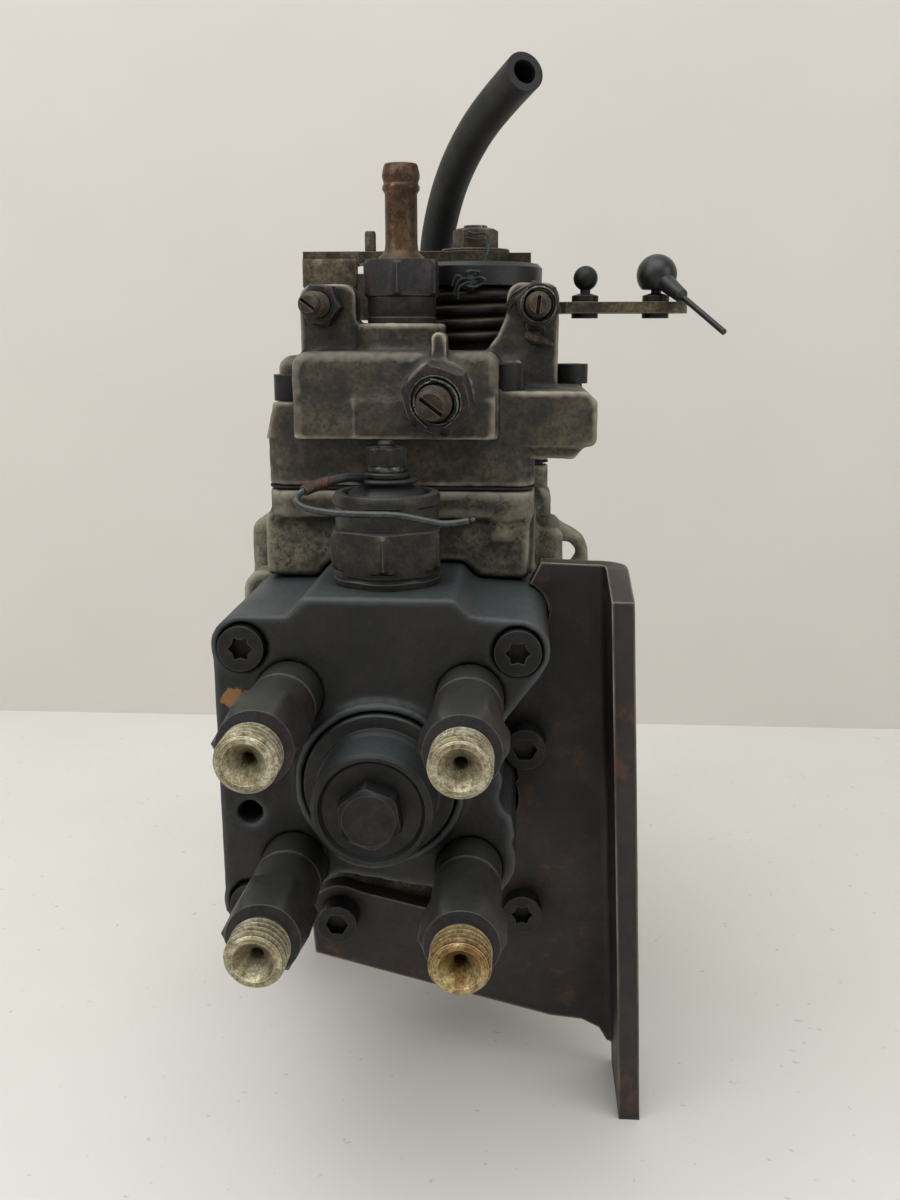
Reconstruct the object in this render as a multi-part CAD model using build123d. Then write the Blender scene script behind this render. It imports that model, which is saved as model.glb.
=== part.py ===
from build123d import *
import math
import os

# A rotary distributor injection pump for a four-cylinder diesel engine.
# Frame: the origin lies on the drive shaft's axis at the mounting flange's engine face.
# +Y runs towards the engine, -Y towards the delivery outlets, +X to the right, +Z up.
# Lengths are in millimetres.

# ---------------------------------------------------------------- directions
FRONT, REAR = (0, -1, 0), (0, 1, 0)
UP, DOWN = (0, 0, 1), (0, 0, -1)
RIGHT, LEFT = (1, 0, 0), (-1, 0, 0)

# ---------------------------------------------------------------- clearances
RUN = 0.03  # radial running clearance of a shaft, slide or plunger
SEAT = 0.02  # radial clearance of a located or screwed piece
FREE = 0.35  # gap between pieces that pass without touching
FACE_GAP = 0.15  # side clearance of a rotor between two faces

# ---------------------------------------------------------------- mounting flange and housing
FLANGE_THICK = 10.0
FLANGE_RADIUS = 50.9
FLANGE_PCD = 100.0
EAR_RADIUS = 8.0
EAR_ANGLES = [30.0, 150.0, 270.0]
FLANGE_HOLE_RADIUS = 4.25
PILOT_RADIUS = 25.0
PILOT_LENGTH = 7.0
WALL = 6.0
CAM_BORE_RADIUS = 34.0
CAM_BORE_FLOOR = -35.0
HOUSING_FACE = -88.0  # joint between the housing and the distributor head
CHAMBER_HALF_WIDTH = 26.0
CHAMBER_FLOOR = 20.0
BODY_LEFT, BODY_RIGHT = -31.5, 33.0
BODY_REAR = -24.0
BODY_TOP = 51.8
DECK_TOP = 58.5  # the face that carries the governor cover
DECK_LEFT, DECK_RIGHT = -30.2, 32.4
DECK_REAR, DECK_FRONT = -31.0, -104.0
DECK_CORNER = 5.0
FRONT_WALL_FACE, FRONT_WALL_RIGHT = -101.5, 31.4

# ---------------------------------------------------------------- drive shaft and feed pump
SHAFT_RADIUS = 10.0
BUSH_RADIUS = 13.0
BUSH_REAR, BUSH_FRONT = -3.0, -18.0
SEAL_RADIUS = 16.0
SEAL_REAR, SEAL_FRONT = 5.5, -2.0
TAPER_START, TAPER_END = 9.0, 28.0
TAPER_SMALL_RADIUS = 8.0
NOSE_THREAD_RADIUS = 6.0
NOSE_END = 41.0
KEY_RADIUS, KEY_THICK, KEY_TOP = 6.5, 4.0, 11.2
FEED_BORE_RADIUS = 28.0
FEED_FLOOR = -18.0
FEED_LENGTH = 14.0
FEED_CAVITY_RADIUS = 20.0
FEED_OFFSET = 1.5
ROTOR_RADIUS = 18.0
VANE_THICK = 2.4
VANE_INNER_RADIUS = 11.8
FEED_PLATE_THICK = 3.0

# ---------------------------------------------------------------- gears
GEAR_MODULE = 1.5
DRIVE_TEETH, GOVERNOR_TEETH = 42, 30
GEAR_REAR, GEAR_THICK = -37.5, 5.0
GOVERNOR_AXIS_Z = GEAR_MODULE * (DRIVE_TEETH + GOVERNOR_TEETH) / 2

# ---------------------------------------------------------------- cam drive
CLAW_DISC_RADIUS, CLAW_DISC_THICK = 15.0, 4.0
CLAW_INNER, CLAW_OUTER, CLAW_WIDTH = 8.0, 14.0, 10.0
CLAW_END, DOG_END = -57.0, -52.7  # how far the shaft and the cam reach into the cross
CROSS_REAR, CROSS_THICK = -50.0, 7.0
PLUNGER_GROOVE_START = -120.2
ROLLER_RADIUS, ROLLER_LENGTH = 7.0, 11.0
ROLLER_CENTRE = 25.5  # distance from the drive axis
ROLLER_Y = -55.0
ROLLER_PIN_RADIUS = 2.0
ROLLER_GAP = 0.2  # leaves room for the ring to turn under the cam
RING_RADIUS = CAM_BORE_RADIUS - FREE
RING_INNER_RADIUS = 17.5
RING_REAR, RING_FRONT = -46.0, -58.5
CAM_RADIUS = 31.0
CAM_LIFT = 2.2  # the cam is drawn at full lift, clear of the rollers at every angle
CAM_VALLEY_RADIUS = 38.0
CAM_FRONT = -72.2
FOOT_RADIUS, FOOT_THICK = 9.0, 1.5
PLUNGER_RADIUS = 5.0
PLUNGER_END = -132.2
BRIDGE_THICK, BRIDGE_WIDTH, BRIDGE_LENGTH = 2.0, 11.0, 51.0
RETURN_SPRING_X = 20.0
RETURN_SPRING_RADIUS, RETURN_SPRING_WIRE = 4.5, 1.6
SPRING_POCKET_DEPTH = 5.0
SPOOL_RADIUS, SPOOL_GROOVE_RADIUS = 11.0, 7.0
SPOOL_REAR, SPOOL_FRONT = -77.2, -86.5

# ---------------------------------------------------------------- governor
CAGE_RADIUS, CAGE_WALL = 17.5, 2.6
CAGE_FLOOR_THICK = 3.5
CAGE_LENGTH = 16.0
WEIGHT_INNER, WEIGHT_OUTER, WEIGHT_WIDTH = 6.8, 13.2, 12.0
WEIGHT_LENGTH = 14.6
WEIGHT_PIVOT_Y, WEIGHT_PIVOT_Z = -48.2, 10.0
TOE_INNER, TOE_WIDTH, TOE_THICK = 3.2, 5.6, 3.0
GOVERNOR_SHAFT_RADIUS, GOVERNOR_SHAFT_END, SLEEVE_BORE_END = 3.0, -74.0, -76.5
SLEEVE_RADIUS, SLEEVE_FLANGE_RADIUS, SLEEVE_FLANGE_THICK = 4.6, 5.8, 2.0
SLEEVE_END = -79.2
LEVER_PLATE_THICK = 3.0
LEVER_PIVOT_Z = 22.0
LEVER_PIVOT_RADIUS = 2.5
LEVER_BALL_RADIUS = 2.0
LEVER_BALL_Z = 9.3
LEVER_TOP = 81.5
GOVERNOR_SPRING_RADIUS, GOVERNOR_SPRING_WIRE = 3.4, 1.2
GOVERNOR_SPRING_Z = 78.0
CRANK_PIN_X, CRANK_PIN_Y, CRANK_PIN_RADIUS = 3.5, -62.0, 2.0
CRANK_Z, CRANK_THICK = 72.6, 2.4

# ---------------------------------------------------------------- injection advance
ADVANCE_Y, ADVANCE_Z = -52.0, -50.0
ADVANCE_BORE_RADIUS = 12.0
ADVANCE_BODY_RADIUS = 18.0
ADVANCE_HALF_LENGTH = 40.0
ADVANCE_PISTON_HALF = 20.0
ADVANCE_PIN_RADIUS, ADVANCE_BALL_RADIUS = 3.0, 4.0
ADVANCE_COVER_THICK, ADVANCE_COVER_SIZE = 5.0, 36.0
ADVANCE_SPRING_RADIUS, ADVANCE_SPRING_WIRE = 7.5, 1.8

# ---------------------------------------------------------------- distributor head
HEAD_BASE_FACE = -99.0  # the step that carries the support bracket
HEAD_FACE = -138.0
HEAD_BASE_HALF = 36.5
SCREW_X, SCREW_Z = 29.0, 29.5
EAR_LOBE = 6.8
BARREL_RADIUS = 11.0
BARREL_END = -134.0
OUTLET_X, OUTLET_Z = 19.1, 19.5
PLUG_RING_RADIUS, PLUG_RING_RISE = 18.3, 2.5
PLUG_SEAT_RADIUS, PLUG_SEAT_FACE = 16.6, -136.5
PLUG_FLANGE_RADIUS, PLUG_FLANGE_THICK = 16.25, 5.5
PLUG_BODY_RADIUS, PLUG_RIM_RADIUS = 12.5, 11.15
PLUG_FACE = -153.8
PLUG_DISH_RADIUS, PLUG_DISH_DEPTH = 10.35, 1.0
PLUG_BOLT_FLATS, PLUG_BOLT_FACE = 12.0, -158.0
PLUG_BOLT_RADIUS, PLUG_BOLT_END = 4.0, -138.0
SOLENOID_Y = -120.0
HEAD_TOP = 40.5
BLEED_X, BLEED_Z, BLEED_RADIUS, BLEED_DEPTH = -28.8, -8.0, 2.7, 14.0

# ---------------------------------------------------------------- delivery valve holders
HOLDER_RADIUS = 7.25
HOLDER_SHANK_RADIUS, HOLDER_SHANK_END = 7.0, -122.0
HOLDER_HEX_REAR, HOLDER_HEX_FRONT, HOLDER_FLATS = -158.0, -170.0, 16.0
HOLDER_NECK_RADIUS, HOLDER_THREAD_START = 5.2, -171.5
HOLDER_THREAD_RADIUS, HOLDER_TIP = 5.95, -178.0
HOLDER_DRILL_RADIUS, HOLDER_MOUTH_RADIUS, HOLDER_MOUTH_DEPTH = 1.25, 4.1, 4.4
VALVE_CHAMBER_RADIUS, VALVE_CHAMBER_END = 4.0, -146.0
VALVE_RADIUS, VALVE_SEAT_FACE = 3.4, -114.0

# ---------------------------------------------------------------- screws
M6 = 3.0
TORX_HEAD_RADIUS, TORX_HEAD_HEIGHT = 4.9, 6.0
CAP_HEAD_RADIUS, CAP_HEAD_HEIGHT, CAP_KEY_FLATS = 5.0, 6.0, 5.0
HEAD_SCREW_FACE = -139.3
HEAD_SCREW_END = -74.0

# ---------------------------------------------------------------- support bracket
PLATE_THICK = 5.0
BRACKET_GAP = 0.6
BRACKET_LEAN = math.degrees(math.atan(6.3 / 129.4))
FOLD_TOP_X, FOLD_TOP_Z = 54.1, 38.0  # a point on the folded side's outer face
FOLD_FRONT = -124.0
FOLD_OUTER_RADIUS, FOLD_INNER_RADIUS = 7.0, 2.0
TOE_Z = -94.3
CAP_SCREWS = [(31.1, -2.9), (-15.3, -50.7)]
LOW_TORX = (31.05, -47.2)
BRACKET_BOSS_RADIUS = 7.5

# ---------------------------------------------------------------- shut-off solenoid
SOLENOID_FLATS, SOLENOID_HEX_TOP = 24.0, 50.0
SOLENOID_RADIUS, SOLENOID_RIM_Z, SOLENOID_TOP = 12.0, 58.5, 60.6
SOLENOID_SHANK_RADIUS, SOLENOID_SHANK_END = 9.0, 26.0
ARMATURE_RADIUS, ARMATURE_TIP, ARMATURE_TOP = 4.0, 12.5, 34.0
ARMATURE_STROKE = 1.2
INSULATOR_TOP = 62.2
EYELET_THICK, EYELET_RADIUS = 1.0, 6.75
TERMINAL_WASHER_TOP, TERMINAL_NUT_TOP, TERMINAL_STUD_TOP = 65.0, 69.6, 71.2
TERMINAL_FLATS, TERMINAL_STUD_RADIUS = 8.0, 2.0
WIRE_DIAMETER = 1.4

# ---------------------------------------------------------------- governor cover
GASKET_THICK = 0.5
RIM_TOP = 71.0
COVER_TOP = 88.5
COVER_WALL = 4.0
DOME_LEFT, DOME_RIGHT, DOME_FRONT = -29.0, 29.5, -92.0
CAVITY_REAR, CAVITY_FRONT = -35.5, -88.0
BOX_LEFT, BOX_RIGHT, BOX_TOP, BOX_FACE = -22.3, 23.9, 89.7, -111.0
BOX_CORNER, BOX_ROUND = 3.4, 2.2
SHOULDER_RIGHT, SHOULDER_TOP, SHOULDER_BOTTOM = 46.3, 81.0, 65.7
SHOULDER_REAR = -52.0
COVER_EAR_RADIUS = 4.5
SIDE_SCREW = (42.0, -60.0)
REAR_EARS = [(-33.0, -44.0), (32.4, -44.0)]
FRONT_SCREWS = [(-24.6, -97.0), (25.2, -98.5)]
LEFT_SEAT = 78.4
COVER_SCREW_HEAD = 4.4
SCREW_RELIEF = 4.9
EAR_TOP = 67.0
LOAD_SCREW_X, LOAD_SCREW_Z, LOAD_SCREW_RADIUS = 11.0, 80.5, 3.9
LOAD_SCREW_TIP, LOAD_SCREW_END = -121.5, -84.5
LOAD_BOSS_RADIUS, LOAD_BOSS_RISE = 7.8, 1.2
LOAD_NUT_FLATS, LOAD_NUT_THICK = 13.0, 5.5
INLET_Y = -87.0
INLET_BOSS_RADIUS, INLET_BOSS_TOP = 10.75, 96.0
INLET_COLLAR_RADIUS, INLET_HEX_REST, INLET_FLATS, INLET_HEX_TOP = 8.5, 101.5, 17.0, 110.7
INLET_SHANK_RADIUS = 6.0
INLET_TUBE_RADIUS, INLET_BORE_RADIUS, INLET_TOP = 4.0, 2.9, 131.9
RETURN_X, RETURN_Y = 4.6, -41.5
BARB_RADIUS, BARB_BORE_RADIUS, BARB_TOP = 2.65, 1.6, 106.5
RETURN_SHANK_RADIUS, RETURN_FLATS, RETURN_BOSS_RISE = 4.0, 12.0, 3.0
HOSE_DIAMETER, HOSE_BORE = 9.0, 5.4
HOSE_START_Z = 100.0

# ---------------------------------------------------------------- control lever
LEVER_X, LEVER_Y = 16.8, -63.0
LEVER_SHAFT_RADIUS = 5.0
LEVER_BOSS_RADIUS, LEVER_BOSS_TOP = 13.0, 104.9
RETURN_COIL_RADIUS, RETURN_COIL_WIRE, RETURN_COIL_TURNS = 15.2, 2.8, 4
RETURN_COIL_BOTTOM, RETURN_COIL_TOP = 88.9, 104.9
CAP_RADIUS, CAP_TOP = 17.1, 110.8
HUB_RADIUS, HUB_THICK = 8.8, 3.0
LEVER_NUT_FLATS, LEVER_NUT_TOP = 10.0, 119.5
LEVER_THREAD_RADIUS = 3.0
ARM_Z, ARM_THICK, ARM_END_X, ARM_WIDTH = 98.7, 2.8, 71.0, 11.0
ARM_KNEE_X = 40.0
STRIP_LEFT, STRIP_RIGHT = 20.0, 31.0
TAB_LEFT, TAB_RIGHT, TAB_BOTTOM = -26.6, -13.2, 105.4
TONGUE_LEFT, TONGUE_RIGHT, TONGUE_BOTTOM = -20.0, -8.6, 97.0
TAB_FRONT, TAB_THICK = -69.6, 3.0
BALL_1_X, BALL_1_Z, BALL_1_RADIUS = 45.0, 107.4, 3.1
BALL_2_X, BALL_2_Z, BALL_2_RADIUS = 63.0, 108.2, 3.1
SOCKET_RADIUS = 5.1
LUG_FACE, LUG_BACK = -90.0, -82.0
LEFT_SCREW_X, LEFT_SCREW_Z, LEFT_SCREW_YAW = -17.8, 100.3, 14.0
RIGHT_SCREW_X, RIGHT_SCREW_Z = 32.6, 100.3
STOP_SCREW_RADIUS, STOP_NUT_FLATS, STOP_NUT_THICK = 3.0, 9.0, 4.0
LEFT_REACH, RIGHT_REACH, RIGHT_TIP = 11.0, 8.0, 2.0

LOW = (Align.CENTER, Align.CENTER, Align.MIN)


# ================================================================ helpers
def stand(at, axis, across=None):
    """A plane at a point, with its normal along axis and its x direction along across."""
    if across is None:
        across = REAR if abs(axis[0]) > 0.9 else RIGHT
    return Plane(origin=at, x_dir=across, z_dir=axis)


def rod(at, axis, radius, length):
    """A round bar that starts at a point and runs along axis."""
    return stand(at, axis) * Cylinder(radius, length, align=LOW)


def tube(at, axis, outer, inner, length):
    """A round bar with a bore along it."""
    return rod(at, axis, outer, length) - rod(at, axis, inner, length)


def turned(at, axis, outline):
    """A solid of revolution from points of (radius, distance along the axis)."""
    points = [(radius, 0, along) for radius, along in outline]
    profile = make_face(Polyline(*points, close=True))
    return stand(at, axis) * revolve(profile, Axis.Z)


def raised(at, axis, outline, length, across=None):
    """A sketch extruded from a point along axis."""
    return extrude(stand(at, axis, across) * outline, length)


def block(x0, x1, y0, y1, z0, z1):
    """A box between two values on each axis."""
    size = (abs(x1 - x0), abs(y1 - y0), abs(z1 - z0))
    centre = ((x0 + x1) / 2, (y0 + y1) / 2, (z0 + z1) / 2)
    return Pos(*centre) * Box(*size)


def outline(points):
    """A closed face through points."""
    return make_face(Polyline(*points, close=True))


def slab(shape, rear, front):
    """A sketch drawn in X and Z, extruded from its rear Y to its front Y."""
    return raised((0, rear, 0), FRONT, shape, rear - front)


def hexagon(at, axis, flats, length, across=None):
    """A hexagonal bar with its corners chamfered at both ends."""
    prism = raised(at, axis, RegularPolygon(flats / 2, 6, major_radius=False), length, across)
    corner = flats / math.sqrt(3) + 0.05
    face = flats / 2 - 0.2
    chamfer = (corner - face) * math.tan(math.radians(30))
    envelope = [
        (0, 0),
        (face, 0),
        (corner, chamfer),
        (corner, length - chamfer),
        (face, length),
        (0, length),
    ]
    return prism & turned(at, axis, envelope)


def star(radius):
    """The six-lobed outline of a screw's drive."""
    points = []
    for step in range(12):
        reach = radius if step % 2 == 0 else radius * 0.72
        angle = math.radians(30 * step)
        points.append((reach * math.cos(angle), reach * math.sin(angle)))
    return outline(points)


def coil(at, axis, radius, wire, length, turns):
    """An open helical spring between two planes, with the wire's radius inside them."""
    rise = length - wire
    path = Helix(pitch=rise / turns, height=rise, radius=radius)
    section = Plane(origin=path @ 0, z_dir=path % 0) * Circle(wire / 2)
    spring = Pos(0, 0, wire / 2) * sweep(section, path=path, is_frenet=True)
    return stand(at, axis) * spring


def gear_outline(teeth, first_angle):
    """A spur gear's outline with one tooth centred on the first angle."""
    pitch = GEAR_MODULE * teeth / 2
    tip, root = pitch + GEAR_MODULE, pitch - 1.25 * GEAR_MODULE
    step = 360 / teeth
    points = []
    for tooth in range(teeth):
        centre = first_angle + tooth * step
        for radius, share in ((root, -0.31), (tip, -0.12), (tip, 0.12), (root, 0.31)):
            angle = math.radians(centre + share * step)
            points.append((radius * math.cos(angle), radius * math.sin(angle)))
    return outline(points)


def together(solids):
    """Several separate solids as one shape."""
    return Compound(children=[solid for piece in solids for solid in piece.solids()])


def at_outlets():
    """The four outlet positions as (x, z)."""
    return [(sx * OUTLET_X, sz * OUTLET_Z) for sz in (1, -1) for sx in (-1, 1)]


def head_screw_places():
    """The four head screws as (x, z)."""
    return [(sx * SCREW_X, sz * SCREW_Z) for sz in (1, -1) for sx in (-1, 1)]


# ================================================================ housing
def flange_outline():
    """The mounting flange: a disc with three ears."""
    edges = Circle(FLANGE_RADIUS).edges()
    for angle in EAR_ANGLES:
        x = FLANGE_PCD / 2 * math.cos(math.radians(angle))
        z = FLANGE_PCD / 2 * math.sin(math.radians(angle))
        edges += (Pos(x, z) * Circle(EAR_RADIUS)).edges()
    return make_hull(edges)


def deck_outline(grow=0.0):
    """The joint face between the housing and the governor cover, seen from above."""
    width = DECK_RIGHT - DECK_LEFT + 2 * grow
    depth = DECK_REAR - DECK_FRONT + 2 * grow
    centre = ((DECK_LEFT + DECK_RIGHT) / 2, (DECK_REAR + DECK_FRONT) / 2)
    shape = Pos(*centre) * RectangleRounded(width, depth, DECK_CORNER)
    for x, y in REAR_EARS:
        shape += Pos(x, y) * Circle(COVER_EAR_RADIUS)
    return shape


def pump_housing():
    barrel_radius = CAM_BORE_RADIUS + WALL
    body = slab(flange_outline(), 0, -FLANGE_THICK)
    body += rod((0, 0, 0), REAR, PILOT_RADIUS, PILOT_LENGTH)
    body += rod((0, 0, 0), FRONT, barrel_radius, -HOUSING_FACE)
    # front flange that carries the head
    front = Pos(-1.5, -1) * RectangleRounded(79, 2 * HEAD_BASE_HALF - 1, 5)
    body += slab(front, HOUSING_FACE + 10, HOUSING_FACE)
    for x, z in head_screw_places():
        body += rod((x, HOUSING_FACE, z), REAR, M6 + 3.5, 20)
    # governor housing on top
    body += block(BODY_LEFT, BODY_RIGHT, BODY_REAR, HOUSING_FACE, 0, BODY_TOP)
    wall_foot = HEAD_BASE_HALF + FREE
    body += block(BODY_LEFT, FRONT_WALL_RIGHT, HOUSING_FACE, FRONT_WALL_FACE, wall_foot, BODY_TOP)
    body -= slab(offset(head_block_outline(), FREE), HOUSING_FACE, FRONT_WALL_FACE - 1)
    body += raised((0, 0, BODY_TOP), UP, deck_outline(), DECK_TOP - BODY_TOP)
    body += rounded_block(-42.4, -28, -47, -74, 6, 46.5, 5)
    body += rounded_block(30, 37.3, -54, -68, 20, 54.2, 3)
    body += rounded_block(30, 40.6, -46, -72, 4, 44.2, 3)
    for x, y in REAR_EARS:
        body += rod((x, y, DECK_TOP), DOWN, COVER_EAR_RADIUS, 14)
    for x, y in FRONT_SCREWS:
        body += rod((x, y, DECK_TOP), DOWN, M6 + 2, 12)
    # injection advance cylinder across the bottom
    start = (-ADVANCE_HALF_LENGTH, ADVANCE_Y, ADVANCE_Z)
    body += rod(start, RIGHT, ADVANCE_BODY_RADIUS, 2 * ADVANCE_HALF_LENGTH)
    body += block(-30, 30, ADVANCE_Y + 16, ADVANCE_Y - 16, ADVANCE_Z, -28)
    for side in (-1, 1):
        for y, z in advance_screw_places():
            lug = rod((side * ADVANCE_HALF_LENGTH, y, z), (-side, 0, 0), M6 + 2.5, 14)
            body += lug
    # bosses for the bracket's lower screws
    for x, z in (CAP_SCREWS[1], LOW_TORX):
        body += rod((x, HEAD_BASE_FACE, z), REAR, BRACKET_BOSS_RADIUS, 36)
    web_top = -HEAD_BASE_HALF - 0.5
    body += block(CAP_SCREWS[1][0], LOW_TORX[0], HOUSING_FACE + 4, HEAD_BASE_FACE + 1, -54, web_top)
    body -= housing_bores()
    return body


def rounded_block(x0, x1, y0, y1, z0, z1, radius):
    """A box whose upper outer edges are rounded."""
    shape = block(x0, x1, y0, y1, z0, z1)
    outer = x0 if x0 < 0 else x1
    edges = [e for e in shape.edges() if abs(e.center().X - outer) < 0.01]
    return fillet(edges, radius)


def advance_screw_places():
    """The cover screws at each end of the advance cylinder as (y, z)."""
    reach = 13.0
    return [(ADVANCE_Y + reach, ADVANCE_Z + reach), (ADVANCE_Y - reach, ADVANCE_Z - reach)]


def housing_bores():
    """Everything that is machined or cored out of the housing."""
    cut = rod((0, CAM_BORE_FLOOR, 0), FRONT, CAM_BORE_RADIUS, 60)
    cut += rod((0, FEED_FLOOR, 0), FRONT, FEED_BORE_RADIUS, 20)
    cut += rod((0, SEAL_FRONT, 0), FRONT, BUSH_RADIUS + SEAT, 20)
    cut += rod((0, SEAL_FRONT, 0), REAR, SEAL_RADIUS + SEAT, 12)
    half = CHAMBER_HALF_WIDTH
    cut += block(-half, half, CAM_BORE_FLOOR, HOUSING_FACE, CHAMBER_FLOOR, DECK_TOP + 1)
    shaft_hole = rod((0, CAM_BORE_FLOOR, GOVERNOR_AXIS_Z), REAR, GOVERNOR_SHAFT_RADIUS + SEAT, 9)
    cut += shaft_hole
    lever_y = lever_plane()
    cut += rod((-29.5, lever_y, LEVER_PIVOT_Z), RIGHT, LEVER_PIVOT_RADIUS + RUN, 59)
    start = (-ADVANCE_HALF_LENGTH - 1, ADVANCE_Y, ADVANCE_Z)
    cut += rod(start, RIGHT, ADVANCE_BORE_RADIUS, 2 * ADVANCE_HALF_LENGTH + 2)
    slot = ADVANCE_PIN_RADIUS + 8
    cut += block(-slot, slot, ADVANCE_Y + 4.5, ADVANCE_Y - 4.5, ADVANCE_Z, -28)
    for side in (-1, 1):
        for y, z in advance_screw_places():
            cut += rod((side * (ADVANCE_HALF_LENGTH + 1), y, z), (-side, 0, 0), M6 + SEAT, 13)
    for angle in EAR_ANGLES:
        x = FLANGE_PCD / 2 * math.cos(math.radians(angle))
        z = FLANGE_PCD / 2 * math.sin(math.radians(angle))
        cut += rod((x, 1, z), FRONT, FLANGE_HOLE_RADIUS, FLANGE_THICK + 2)
    for x, z in head_screw_places():
        cut += rod((x, HOUSING_FACE, z), REAR, M6 + SEAT, HEAD_SCREW_END - HOUSING_FACE + 1)
    for x, z in (CAP_SCREWS[1], LOW_TORX):
        cut += rod((x, HEAD_BASE_FACE, z), REAR, M6 + SEAT, 13)
    for x, y in REAR_EARS + FRONT_SCREWS:
        cut += rod((x, y, DECK_TOP), DOWN, M6 + SEAT, 10)
    return cut


# ================================================================ drive shaft and feed pump
def drive_shaft():
    outline_points = [
        (0, -NOSE_END),
        (NOSE_THREAD_RADIUS - 0.8, -NOSE_END),
        (NOSE_THREAD_RADIUS, -NOSE_END + 0.8),
        (NOSE_THREAD_RADIUS, -TAPER_END),
        (TAPER_SMALL_RADIUS, -TAPER_END),
        (SHAFT_RADIUS, -TAPER_START),
        (SHAFT_RADIUS, claw_disc_rear()),
        (CLAW_DISC_RADIUS, claw_disc_rear()),
        (CLAW_DISC_RADIUS, claw_disc_rear() + CLAW_DISC_THICK),
        (0, claw_disc_rear() + CLAW_DISC_THICK),
    ]
    shaft = turned((0, 0, 0), FRONT, outline_points)
    claw_rear = -(claw_disc_rear() + CLAW_DISC_THICK)
    for side in (-1, 1):
        inner, outer = side * CLAW_INNER, side * CLAW_OUTER
        shaft += block(inner, outer, claw_rear + 1, CLAW_END, -CLAW_WIDTH / 2, CLAW_WIDTH / 2)
    return shaft - shaft_key(SEAT)


def claw_disc_rear():
    """Distance from the flange face to the claw disc."""
    return GEAR_THICK - GEAR_REAR + 1.0


def shaft_key(grow=0.0):
    """The half-round key in the taper."""
    half = KEY_THICK / 2 + grow
    middle = (TAPER_START + TAPER_END) / 2
    disc = rod((-half, middle, SHAFT_RADIUS - 1), RIGHT, KEY_RADIUS + grow, 2 * half)
    return disc & block(-10, 10, 0, 40, 0, KEY_TOP + grow)


def shaft_bush():
    return tube((0, BUSH_REAR, 0), FRONT, BUSH_RADIUS, SHAFT_RADIUS + RUN, BUSH_REAR - BUSH_FRONT)


def shaft_seal():
    width = SEAL_REAR - SEAL_FRONT
    ring = tube((0, SEAL_REAR, 0), FRONT, SEAL_RADIUS, SHAFT_RADIUS + 3, width)
    lip = [
        (SHAFT_RADIUS + RUN, 3.0),
        (SHAFT_RADIUS + 3.01, 1.0),
        (SHAFT_RADIUS + 3.01, 6.0),
        (SHAFT_RADIUS + 1.5, 6.0),
    ]
    return ring + turned((0, SEAL_REAR, 0), FRONT, lip)


def feed_pump_ring():
    ring = rod((0, FEED_FLOOR, 0), FRONT, FEED_BORE_RADIUS - SEAT, FEED_LENGTH)
    cavity = rod((0, FEED_FLOOR + 1, FEED_OFFSET), FRONT, FEED_CAVITY_RADIUS, FEED_LENGTH + 2)
    return ring - cavity


def feed_pump_rotor():
    rotor = rod((0, FEED_FLOOR - FACE_GAP, 0), FRONT, ROTOR_RADIUS, FEED_LENGTH - 2 * FACE_GAP)
    rotor -= rod((0, 0, 0), FRONT, SHAFT_RADIUS + SEAT, 50)
    for turn in range(4):
        rotor -= vane(turn, SEAT, VANE_INNER_RADIUS - 0.3, ROTOR_RADIUS + 1)
    return rotor


def vane(turn, grow, inner, outer):
    """One vane or, grown by its clearance, the slot that it slides in."""
    half = VANE_THICK / 2 + grow
    rear = FEED_FLOOR - FACE_GAP + grow
    front = FEED_FLOOR - FEED_LENGTH + FACE_GAP - grow
    shape = block(inner, outer, rear, front, -half, half)
    return Rot(0, 45 + 90 * turn, 0) * shape


def feed_pump_vanes():
    reach = FEED_CAVITY_RADIUS - FEED_OFFSET - 0.1
    return together([vane(turn, 0, VANE_INNER_RADIUS, reach) for turn in range(4)])


def feed_pump_plate():
    rear = FEED_FLOOR - FEED_LENGTH
    plate = tube((0, rear, 0), FRONT, FEED_BORE_RADIUS - SEAT, SHAFT_RADIUS + 1, FEED_PLATE_THICK)
    for side in (-1, 1):
        plate -= rod((side * 22, rear + 1, 0), FRONT, 2, FEED_PLATE_THICK + 2)
    return plate


def drive_gear():
    gear = slab(gear_outline(DRIVE_TEETH, 90), GEAR_REAR, GEAR_REAR - GEAR_THICK)
    return gear - rod((0, 0, 0), FRONT, SHAFT_RADIUS + SEAT, 60)


def cross_coupling():
    """The cross that lets the cam slide while the shaft turns it."""
    plate = rod((0, CROSS_REAR, 0), FRONT, CLAW_OUTER, CROSS_THICK)
    inner = CLAW_INNER - FREE
    half = CLAW_WIDTH / 2 + FREE
    front = CROSS_REAR - CROSS_THICK - 1
    for turn in range(4):
        notch = block(inner, CLAW_OUTER + 1, CROSS_REAR + 1, front, -half, half)
        plate -= Rot(0, 90 * turn, 0) * notch
    return plate


# ================================================================ cam and plunger
def roller_axis(turn):
    """The outward direction of one roller."""
    angle = math.radians(90 * turn)
    return (math.cos(angle), 0, math.sin(angle))


def roller(turn):
    axis = roller_axis(turn)
    inner = ROLLER_CENTRE - ROLLER_LENGTH / 2
    start = (axis[0] * inner, ROLLER_Y, axis[2] * inner)
    return tube(start, axis, ROLLER_RADIUS, ROLLER_PIN_RADIUS + RUN, ROLLER_LENGTH)


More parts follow.
